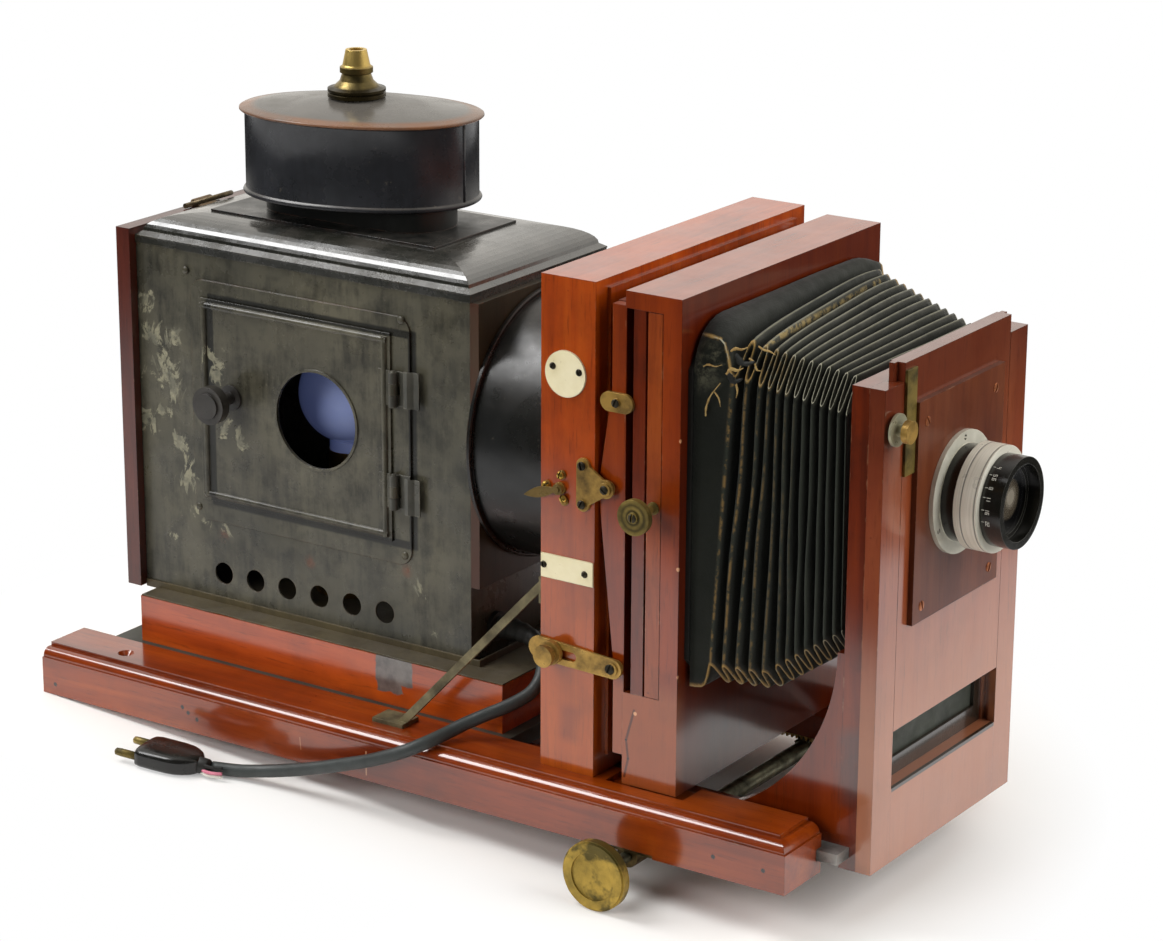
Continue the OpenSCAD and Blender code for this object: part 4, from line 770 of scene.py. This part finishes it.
def plug_point(x, y, z):
    """A point of the plug in metres: x from its middle towards the cord, z up from the floor."""
    spot = Matrix.Rotation(PLUG_TURN, 3, "Z") @ Matrix.Rotation(TILT, 3, "Y") @ Vector((x, y, z))
    return floor_point(*PLUG_AT) + spot * MM


def make_cord():
    """The lead lies across the near rail and down to the plug on the floor."""
    path = [at(*p) for p in smooth_path(CORD_ROUTE, 4)]
    cord = tube("lead", path, CORD_RADIUS, "cord_rubber", "lamphouse")
    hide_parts("mains_cord")
    pieces = [*make_plug(), *make_cores(), make_sleeve(path)]


def make_sleeve(path):
    """Tapered rubber strain relief at the lamp house, with three ribs."""
    start = at(SLEEVE_START, 0, 0).x
    line = [p for i, p in enumerate(path) if p.x >= start and length_of(path[: i + 1]) < SLEEVE_LENGTH * MM]
    line = [a.lerp(b, k / 4) for a, b in zip(line, line[1:]) for k in range(4)] + [line[-1]]
    radii = []
    for i in range(len(line)):
        share = length_of(line[: i + 1]) / length_of(line)
        rib = 0.45 * max(0, cos(8 * pi * share)) * (share < 0.8)
        radii.append(mix(6.4, 4.3, share) + rib)
    return tube("strain_relief", line, radii, "black_rubber", "lamphouse")


def make_plug():
    """A flat two pin plug with rounded edges, a parting line and a collar."""
    sides, points = 40, []
    for x, wide, high in PLUG_STATIONS:
        for c, s in circle(sides):
            pinch = 0.975 if abs(s) < 0.08 else 1
            points.append(plug_point(x, wide * power(c, 0.42) * pinch, PLUG_MIDDLE + high * power(s, 0.5)))
    body = new_mesh("plug_body", points, ring_faces(len(PLUG_STATIONS), sides), "plug_bakelite", "lamphouse")
    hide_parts("plug")
    pieces = [body]
    for n, y in enumerate((-9.5, 9.5)):
        line = [plug_point(x, y, 5.5) for x in (-15, -26, -29, -29.8)]
        pieces.append(tube(f"plug_pin_{n}", line, (2.3, 2.3, 2.1, 1.2), "old_brass", "lamphouse"))
    line = [plug_point(x, 0, 5.5) for x in (19, 21.5, 25.4, 26.2)]
    pieces.append(tube("plug_collar", line, (4.9, 4.7, 4.4, 3.9), "black_rubber", "lamphouse"))
    return pieces


def make_cores():
    """The sheath has pulled back from the collar, so the three cores show beside it."""
    cores = []
    for n, (tint, bow, height) in enumerate(CORES):
        bows = ((22, 0.55), (26.5, 1.05), (31, 1), (36, 0.5))
        path = smooth_path([plug_point(x, bow * share, height) for x, share in bows], 4)
        cores.append(tube(f"core_{n}", path, 0.95, tint, "lamphouse", 10))
    return cores


# ---- bellows
STAGE_FRONT = 428.4
BELLOWS_REAR = STAGE_FRONT + 2.5
BELLOWS_FRONT = 513.8
SIDE_FOLDS = 13
TOP_DEPTH = 17
SIDE_DEPTH = 12
SAG = 4.3  # how far the top hangs at the rear, where the cloth is slack
BETWEEN = ((0.19, 0.14), (0.25, 0.5), (0.31, 0.86))  # rows between two creases: where, and how far folded


def fold_x(fold, height, far):
    """Where a fold stands. height is 0 to 1 from the bottom up, far is 0 to 1 from the near side across."""
    count = max(fold, 0)
    near_top = 451 + 6.8 * min(count, 2) + 4.45 * max(count - 2, 0)
    far_top = 438 + 6 * count
    bottom = 441.5 + 7 * min(count, 5) + 4.8 * max(count - 5, 0)
    x = mix(bottom, mix(near_top, far_top, far), height)
    if fold < 0:
        x = mix(BELLOWS_REAR, x, 1 + fold)
    return min(x, BELLOWS_FRONT)


def bellows_rows():
    """Rows along the length: fold number, how far in the sides and the top are (0 to 1), and the crease."""
    rows = [(-1, 0, 0, 0), (-0.7, 0, 0, 0), (-0.42, 0, 0.02, 0), (-0.3, 0, 0.12, 0), (-0.2, 0, 0.45, 0)]
    for i in range(2 * SIDE_FOLDS - 1):
        side_in, top_in = i % 2, 1 - i % 2
        for step, share, crease in ((-0.1, 0.03, 0.5), (0, 0, 1), (0.1, 0.03, 0.5)):
            rows.append((i / 2 + step, abs(side_in - share), abs(top_in - share), crease))
        for step, share in BETWEEN:
            rows.append((i / 2 + step, mix(side_in, 1 - side_in, share), mix(top_in, 1 - top_in, share), 0))
    return rows[:-4]


def bellows_outline():
    """Which face, and how far along it, from the near lower corner upwards and round."""
    up, across = ([k / count for k in range(count)] for count in (34, 28))
    loop = [("near", share) for share in up] + [("top", share) for share in across]
    return loop + [("far", 1 - share) for share in up] + [("bottom", 1 - share) for share in across]


def rounded_corner(y, z, half, high, radius):
    """Moves a point near an upper corner onto a rounded corner."""
    over_y, over_z = abs(y) - (half - radius), z - (high - radius)
    if radius < 0.5 or over_y <= 0 or over_z <= 0:
        return y, z
    pull = max(over_y, over_z) / hypot(over_y, over_z)
    return copysign(half - radius + over_y * pull, y), high - radius + over_z * pull


def bellows_point(row, face, along):
    fold, side_in, top_in, _ = row
    upright = face in ("near", "far")
    height = along if upright else float(face == "top")
    far = float(face == "far") if upright else along
    x = fold_x(fold, height, far)
    t = min(max((x - 431) / 76, 0), 1)
    half = mix(93, 73, t) - SIDE_DEPTH * side_in
    high = 286 - 0.3 * (x - 431) - TOP_DEPTH * top_in
    low = 89.8 + 0.7 * max(x - 470, 0) + (TOP_DEPTH - 4) * top_in
    sag = SAG * (1 - t) * min(1, max(0, fold + 1))
    out = -1 if face == "near" else 1
    if upright:
        y, z = out * half, mix(low, high - sag * along, along)
    else:
        y, z = mix(-half, half, along), low
        if face == "top":
            z = high - sag * abs(2 * along - 1) ** 4
    y, z = rounded_corner(y, z, half, high, 26 * min(1, max(0, 1 - (fold + 1) * 0.95)))
    belly = sin(pi * along)
    wave = noise.noise(Vector((fold * 0.9, along * 2.2, {"near": 1, "top": 5, "far": 9, "bottom": 13}[face])))
    calm = min(1, max(0, fold + 0.5)) * min(1, 6 * (1 - t))
    x += wave * 1.6 * belly * calm
    if face == "top":
        z += wave * 1.2 * belly
    if upright:
        y -= out * wave * 1.3 * belly * calm
    return at(x, y, z)


def blend_bellows(made):
    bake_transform(made)


def make_bellows():
    rows, loop = bellows_rows(), bellows_outline()
    spots = [(row, face, along) for row in rows for face, along in loop]
    bellows_material()
    faces = ring_faces(len(rows), len(loop), 0)
    made = new_mesh("bellows_folds", [bellows_point(*spot) for spot in spots], faces, "bellows_cloth_folded")
    marks = {
        "ridge_top": [row[3] * (1 - row[2]) * (face in ("top", "bottom")) for row, face, _ in spots],
        "ridge_side": [row[3] * (1 - row[1]) * (face in ("near", "far")) for row, face, _ in spots],
        "corner": [float(along == 1 or along == 0 and face in ("near", "top")) for _, face, along in spots],
    }
    for name, values in marks.items():
        made.data.attributes.new(name, "FLOAT", "POINT").data.foreach_set("value", values)
    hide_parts("bellows")
    thicken(made, 0.6)
    blend_bellows(made)


def bellows_material():
    """Black cloth, grey on the creases, brown where the lining shows through the rear folds."""
    s = Shader("bellows_cloth_folded", Sheen_Weight=0.12, Sheen_Roughness=0.5, Specular_IOR_Level=0.25)
    names = ("ridge_top", "ridge_side", "corner")
    top, side, corner = (s.node("Attribute", out="Fac", attribute_name=name) for name in names)
    rear = s.rise("x", 486, 452)
    rag = s.noise(150, 5, 0.75)
    s.colour = s.mix(s.cloud((30, 4), 0.35, 0.7), "141712", "20221c")
    up = s.times(s.span(s.normal("z"), 0.2, 0.95), s.rise("x", 449, 453))
    s.paint("4d4a3e", up, s.cloud((45, 5), 0.25, 0.7, 0.25, 0.75))
    s.paint("76745f", s.span(top, 0.7, 0.95), s.cloud((90, 4), 0.3, 0.5, 0.4, 0.85))
    s.paint("3f443a", s.span(side, 0.4, 0.9), 0.35)
    s.paint("7d6238", s.span(side, 0.55, 0.95), rear, s.span(rag, 0.46, 0.56), 0.85)
    s.paint("a3a08c", s.span(corner, 0.86, 0.94))
    tips = s.times(s.span(corner, 0.6, 0.9), s.span(rear, 0.1, 0.8), s.span(rag, 0.42, 0.52))
    low = s.times(s.span(corner, 0.72, 0.95), s.rise("z", 130, 112), s.span(rag, 0.36, 0.5))
    s.paint("a1824a", s.most(tips, low))
    worn = s.most(s.spot(434, -92, 262, 15, 0.8), s.spot(441, -90, 270, 11, 0.8))
    s.paint("63614f", worn, s.span(rag, 0.45, 0.6, 0, 0.6))
    s.paint("94804f", s.stroke((463, -84, 276), (449, 64, 277), 2.4), s.span(rag, 0.44, 0.54), 0.8)
    relief = s.math("ADD", s.noise(900, 2, 0.5), s.noise(60, 4))
    s.finish(s.cloud((120, 3), 0.3, 0.7, 0.5, 0.75), relief, 0.4, 0.35)


def ribbon(name, points, width, material, seed):
    """A torn strip of cloth along the points, with ragged sides and curled across."""
    dice = random.Random(seed)
    line = smooth_path([at(*p) for p in points], 5)
    verts = []
    for i, p in enumerate(line):
        way = way_at(line, i)
        side = way.cross(Vector((0, -1, 0.3))).normalized()
        swell = 0.35 + 0.65 * sin(pi * min(1, 0.15 + i / (len(line) - 1)))
        half = 0.5 * width * swell * dice.uniform(0.65, 1.2) * MM
        verts += [p - side * half, p + side.cross(way) * 0.25 * half, p + side * half]
    made = new_mesh(name, verts, sheet_faces(len(line), 3), material)
    thicken(made, 0.45)
    blend_bellows(made)


TEARS = (
    ([(438, -93.2, 238), (438.5, -93.6, 243), (441.3, -93.8, 249.8), (446.6, -93.5, 257)], 1.2),
    ([(449.6, -93, 262), (452, -92, 265), (455, -91, 264.5), (458, -90, 266)], 2),
    ([(436, -93, 264), (439, -93, 265.5), (443, -92.5, 265), (446, -91, 266)], 1.1),
    ([(449, -88, 273), (452, -88, 274.8), (455, -87, 274.6), (458, -86, 276)], 1.8),
    ([(460, -88, 271), (463, -88, 269.5), (465, -88.5, 266), (467, -88, 265.5)], 1.4),
    ([(463, -84, 277), (466, -84, 275.6), (470, -84, 275.2), (473, -84, 274)], 1.5),
    ([(443, -93.4, 252), (446, -93.8, 249), (447, -93.6, 244.6)], 0.9),
    ([(453, -90, 259), (455, -90.6, 254), (454.6, -91, 250)], 1.3),
    ([(449, -90, 262), (453, -91, 258.6), (458, -90.6, 260.5)], 3.6),
    ([(452, -88, 272), (457, -89, 268), (464, -89, 270)], 4),
)  # points and width; the widest are of the outer cloth
WIDEST_LINING = 2


def make_tears():
    """The near upper corner of the bellows has torn: shreds of brown lining hang from it."""
    for n, (points, width) in enumerate(TEARS):
        cloth = "tan_cloth" if width <= WIDEST_LINING else "bellows_cloth"
        ribbon(f"tear_{n}", points, width, cloth, 40 + n)


# ---- small fittings
PLAQUE_SCREWS = (
    ("round_plaque_screw", ((352, -105.5, 253.6, 20), (368.4, -105.5, 252.5, 70))),
    ("plaque_screw", ((346.4, -105.3, 143.6, 50), (372.4, -105.3, 142.8, 10))),
)  # x, y, z and the turn of the slot
BOARD_SCREWS = ((-37, 238.5, 80), (37, 238.5, 15), (-37, 139, 60), (37, 139, 20))
FLANGE_RADIUS = 29.6
RIVETS = ((224.3, 249.2), (225.5, 113.4), (76.6, 114.5), (71, 255))
RIVET_DOME = [(-0.4, 2.3), (0.2, 2.25), (0.7, 1.8), (1, 1.1), (1.1, 0.4)]
CATCH_SCREWS = ((347.9, 187.9), (357.4, 195), (359.1, 182.4))


def hinge_leaf(name, x, y, z):
    """A bent strap from the knuckle of a hinge onto the wall."""
    section = [(x, y), (x + 2.5, y - 0.4), (x + 4.5, y + 0.4), (x + 6, y + 1.2), (x + 9.5, y + 1.3)]
    loop = section + [(a, b + 0.7) for a, b in reversed(section)]
    points = [at(a, b, z + side * 10.5) for side in (-1, 1) for a, b in loop]
    count = len(loop)
    faces = ring_faces(2, count, 0)
    for first in (0, count):
        last = first + count - 1
        faces += [(first + k, first + k + 1, last - 1 - k, last - k) for k in range(len(section) - 1)]
    new_mesh(name, points, faces, "hinge_iron", "lamphouse", smooth=False)


def make_fittings():
    for name, places in PLAQUE_SCREWS:
        for n, (*place, turn) in enumerate(places):
            screw(f"{name}_{n}", place, turn, 1.9, 0.5)
    board = box("lens_board")[1].x
    for n, (y, z, turn) in enumerate(BOARD_SCREWS):
        screw(f"lens_board_screw_{n}", (board - 0.2, y, z), turn, 2.7, 0.15, AHEAD, "rise", "red_copper")
    for n, angle in enumerate((90, 210, 330)):
        y, z = (FLANGE_RADIUS * wave(radians(angle)) for wave in (cos, sin))
        screw(f"flange_screw_{n}", (board + 2, y, LENS_Z + z), angle + 30, 2, 0.15, AHEAD, "rise")
    for n, (x, z) in enumerate(RIVETS):
        path = [at(x, WALL_Y - 0.3 - up, z) for up, _ in RIVET_DOME]
        tube(f"rivet_{n}", path, [radius for _, radius in RIVET_DOME], "lamp_iron", "lamphouse")
    low, high = box("pivot_brackets")
    middle = (low.z + high.z) / 2
    for n, (x, rise) in enumerate(((low.x + 4, -10.6), (low.x + 4, 10.6), (high.x - 5, 0))):
        for side in (-1, 1):
            place = (x, side * high.y, middle + rise)
            screw(f"bracket_screw_{n}_{side}", place, 40 * n + 20, 2.4, 0.35, (0, side, 0))
    screw("turn_button_screw", near_face("turn_button"), 25, 2.3, 0.3, body="stage_button")
    low, high = box("tilt_link")
    screw("tilt_link_screw", (high.x - 6.5, low.y, LINK_Z), 25, 2.8, 0.3, body="stage_link")
    knob = near_face("carrier_knob") + Vector((0, 0.1, 0))
    screw("carrier_knob_screw", knob, 40, 2.4, 0.3, body="negative_carrier")
    low, high = box("door_hinges")
    for n, z in enumerate((low.z + 9.5, high.z - 9.5)):
        hinge_leaf(f"hinge_leaf_{n}", high.x - 1.5, low.y + 1.6, z)
    for n, (x, z) in enumerate(CATCH_SCREWS):
        screw(f"catch_screw_{n}", (x, -106.1, z), 35 * n, 2.2, 0.6, material="bright_brass", slot_width=0.18)


STRAP_PROFILE = (
    (10.5, -1.5), (6, -1.4), (2.6, 0.2), (1.2, 1.9), (-0.6, 2.1), (-2, 0.8), (-1.4, -1.2), (2, -1.7),
)


def make_strap():
    """A worn strap folded over the straight bar of the ring on the back board."""
    low = box("d_ring")[0]
    line = smooth_path([(low.x + 1.5 + x, 0, low.z + 1.6 + z) for x, z in STRAP_PROFILE], 4)
    points = [at(p.x, y, p.z) for p in line for y in (-7.5, -2.5, 2.5, 7.5)]
    strap = new_mesh("ring_strap", points, sheet_faces(len(line), 4), "leather", "back")
    thicken(strap, 0.9, 0)


FIGURES = {
    "1": [[(1, 0), (1, 4)]],
    "2": [[(0, 4), (2, 4), (2, 2), (0, 2), (0, 0), (2, 0)]],
    "4": [[(0, 4), (0, 2), (2, 2)], [(2, 4), (2, 0)]],
    "5": [[(2, 4), (0, 4), (0, 2), (2, 2), (2, 0), (0, 0)]],
    "6": [[(2, 4), (0, 4), (0, 0), (2, 0), (2, 2), (0, 2)]],
    "8": [[(0, 0), (2, 0), (2, 4), (0, 4), (0, 0)], [(0, 2), (2, 2)]],
    ".": [[(0.8, 0), (1.2, 0)]],
}  # each figure as lines on a grid two wide and four high
HOOD_RADIUS = 24.56


def make_scale():
    """Plain aperture figures and index lines in white round the hood of the lens."""
    grid, width = 0.5, 0.32
    back = box("iris_ring")[1].x + 1.4
    points = []

    def line(start, end):
        """A strip between two places on the hood, each its x and how far round it is."""
        ahead = (end - start).normalized() * width / 2
        aside = Vector((-ahead.y, ahead.x))
        for x, arc in (start - ahead + aside, start - ahead - aside, end + ahead - aside, end + ahead + aside):
            angle = radians(30) + arc / HOOD_RADIUS
            points.append(at(x, -HOOD_RADIUS * sin(angle), LENS_Z + HOOD_RADIUS * cos(angle)))

    arc = 0
    for figures in ("4", "5.6", "8", "11", "16", "22"):
        line(Vector((back, arc + 0.5)), Vector((back + 1.2, arc + 0.5)))
        for figure in figures:
            for spots in FIGURES[figure]:
                spots = [Vector((back + 2.2 + v * grid, arc + u * grid)) for u, v in spots]
                for start, end in zip(spots, spots[1:]):
                    line(start, end)
            arc += (1.4 if figure == "." else 3) * grid
        arc += 3.6
    faces = [range(n, n + 4) for n in range(0, len(points), 4)]
    new_mesh("aperture_scale", points, faces, "white_paint", "rise", False)


# ---- cowl and tray
COWL_WALL = (
    (0, 0.3), (0.5, 1.2), (1.5, 1.6), (2.5, 1.2), (3, 0.2), (3.4, 0), (20, 0), (46.5, 0),
    (47.2, 0.6), (47.6, 2.4), (48.2, 3), (49, 2.9), (49.4, 2.2), (49.6, 0.6),
)  # height, and how far out from the plain wall
DOME_SHARES = (0.97, 0.9, 0.8, 0.68, 0.55, 0.42, 0.3, 0.18, 0.08)


def make_cowl():
    """The oval cap of the chimney, a little turned: bead, wall, rolled rim and low dome."""
    top = COWL_WALL[-1][0]
    rise = box("cowl_gland")[0].z - COWL_LID - 1
    profile = [(up, out, 1) for up, out in COWL_WALL]
    profile += [(top + rise * (1 - share) ** 0.75, 0, share) for share in DOME_SHARES]
    turn = Matrix.Rotation(COWL_TURN, 2)
    sides, points = 96, []
    for up, out, share in profile:
        for spot in circle(sides):
            x_y = [(half * power(d, 0.94) + out * d) * share for half, d in zip(COWL_HALF, spot)]
            x, y = turn @ Vector(x_y)
            points.append(at(COWL_MIDDLE + x, y, COWL_LOW + up))
    cowl = new_mesh("cowl_shell", points, ring_faces(len(profile), sides, 1), "cowl_iron", "cowl")
    thicken(cowl, 0.8)
    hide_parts("chimney_cowl")
    angle = radians(-16)
    x, y = turn @ Vector((COWL_HALF[0] * cos(angle), COWL_HALF[1] * sin(angle)))
    strip = [at(COWL_MIDDLE + x, y, COWL_LOW + up) for up in (3.2, 47)]
    tube("cowl_seam", strip, 1.1, "cowl_iron", "cowl", sides=12)


def make_tray_flange():
    """The tray's sheet is turned out over the plinth, so that the plinth shows no wood on top."""
    low, high = box("plinth")
    tray = box("lamp_tray")[1]
    rear, ahead, edge, inner = low.x + 0.4, high.x - 0.6, high.y - 0.6, tray.y + 0.05
    steps = 26
    dice = random.Random(5)
    points, faces = [], []

    def bar(rows):
        """A closed bar through rows of four corners, with heights from the top of the plinth."""
        faces.extend(ring_faces(len(rows), 4, 2, len(points)))
        points.extend(at(x, y, high.z + z) for row in rows for x, y, z in row)

    for side in (-1, 1):
        rows = []
        for i in range(steps + 1):
            x, y = mix(rear, ahead, i / steps), side * (edge + dice.uniform(-0.35, 0.35))
            row = [(x, side * inner, 0.1), (x, side * inner, 0.9), (x, y, 0.8), (x, y, 0.1)]
            rows.append(row[::side])
        bar(rows)
    section = ((-inner, 0.1), (inner, 0.1), (inner, 0.85), (-inner, 0.85))
    bar([[(x, y, z) for y, z in section] for x in (tray.x + 0.1, ahead)])
    new_mesh("tray_flange", points, faces, "tray_metal", "lamphouse", smooth=False)


# ---- floor and light
FLOOR_MIDDLE = (240, -20)
FLOOR_FADE = (285, 365)  # the floor turns pure white for the camera between these distances
FLOOR_EDGE = (
    (-420, -640), (43, -580), (269, -451), (520, -330), (1000, -160), (1030, 370),
    (870, 480), (650, 700), (300, 900), (-300, 900), (-560, 200),
)  # outline of the white sheet; past its near edge the polished wood mirrors a dark room
ROOM_LEVEL = 0.08
BACKDROP_LEVEL = 1
BOXES = (
    ("top_box", (-600, -480, 1380), (220, 0, 120), 0.8, 18, True),
    ("near_box", (-150, -1500, 700), (250, -60, 150), 0.9, 15, False),
    ("right_box", (1500, 200, 700), (450, 0, 150), 0.9, 10, False),
)  # name, place, target, size in metres, watts, seen in reflections


def make_floor():
    """A white sheet, as steep as the object makes it by standing on its knobs."""
    floor_material()
    points = [floor_point(*spot) for spot in (FLOOR_MIDDLE, *FLOOR_EDGE)]
    sides = len(FLOOR_EDGE)
    faces = [(0, k + 1, (k + 1) % sides + 1) for k in range(sides)]
    new_mesh("floor", points, faces, "floor_white", smooth=False)


def floor_material():
    s = Shader("floor_white", Roughness=0.85, Specular_IOR_Level=0.15, Base_Color=(0.93, 0.915, 0.89, 1))
    far = s.vector("DISTANCE", s.place, floor_point(*FLOOR_MIDDLE), "Value")
    beside = s.times(s.rise("y", -132, -205), s.rise("x", 560, 330))
    fade = s.most(s.span(far, FLOOR_FADE[0] * MM, FLOOR_FADE[1] * MM), beside)
    path = s.node("LightPath").node.outputs
    seen = s.most(path["Is Camera Ray"], path["Is Glossy Ray"])
    blend = s.node("MixShader", (s.times(fade, seen), s.bsdf.outputs[0], s.node("Emission")))
    s.feed(s.tree.nodes["Material Output"].inputs["Surface"], blend)


def make_world():
    """A white backdrop behind and at the sides, and a dim room in front."""
    world = bpy.data.worlds.new("world")
    bpy.context.scene.world = world
    world.use_nodes = True
    w = Nodes(world.node_tree, "Generated")
    path = w.node("LightPath").node.outputs
    camera, glossy = path["Is Camera Ray"], path["Is Glossy Ray"]
    backdrop = w.times(w.span(w.axis("y"), -0.25, 0.3), w.span(w.axis("z"), -0.2, 0))
    seen = w.most(camera, path["Is Transmission Ray"], w.times(glossy, backdrop))
    lit = w.math("MULTIPLY_ADD", backdrop, BACKDROP_LEVEL - ROOM_LEVEL, ROOM_LEVEL)
    lit = w.times(lit, w.math("MULTIPLY_ADD", glossy, -0.7, 1))
    background = w.tree.nodes["Background"].inputs
    w.feed(background["Strength"], w.most(seen, lit))
    w.feed(background["Color"], w.mix(camera, (1, 0.965, 0.9, 1), (1, 1, 1, 1)))


def make_boxes():
    """Three soft boxes."""
    for name, place, target, size, watts, mirrored in BOXES:
        data = bpy.data.lights.new(name, "AREA")
        data.size = size
        data.energy = watts
        lamp = bpy.data.objects.new(name, data)
        bpy.context.scene.collection.objects.link(lamp)
        lamp.visible_glossy = mirrored
        lamp.location = at(*place)
        lamp.rotation_mode = "QUATERNION"
        lamp.rotation_quaternion = (at(*target) - at(*place)).to_track_quat("-Z", "Y")


# ---- making
make_materials()
make_camera()
make_cord()
dress_frame()
make_bellows()
make_tears()
make_fittings()
make_strap()
make_scale()
make_cowl()
make_tray_flange()
make_floor()
make_world()
make_boxes()
bpy.context.scene.view_settings.view_transform = "Standard"
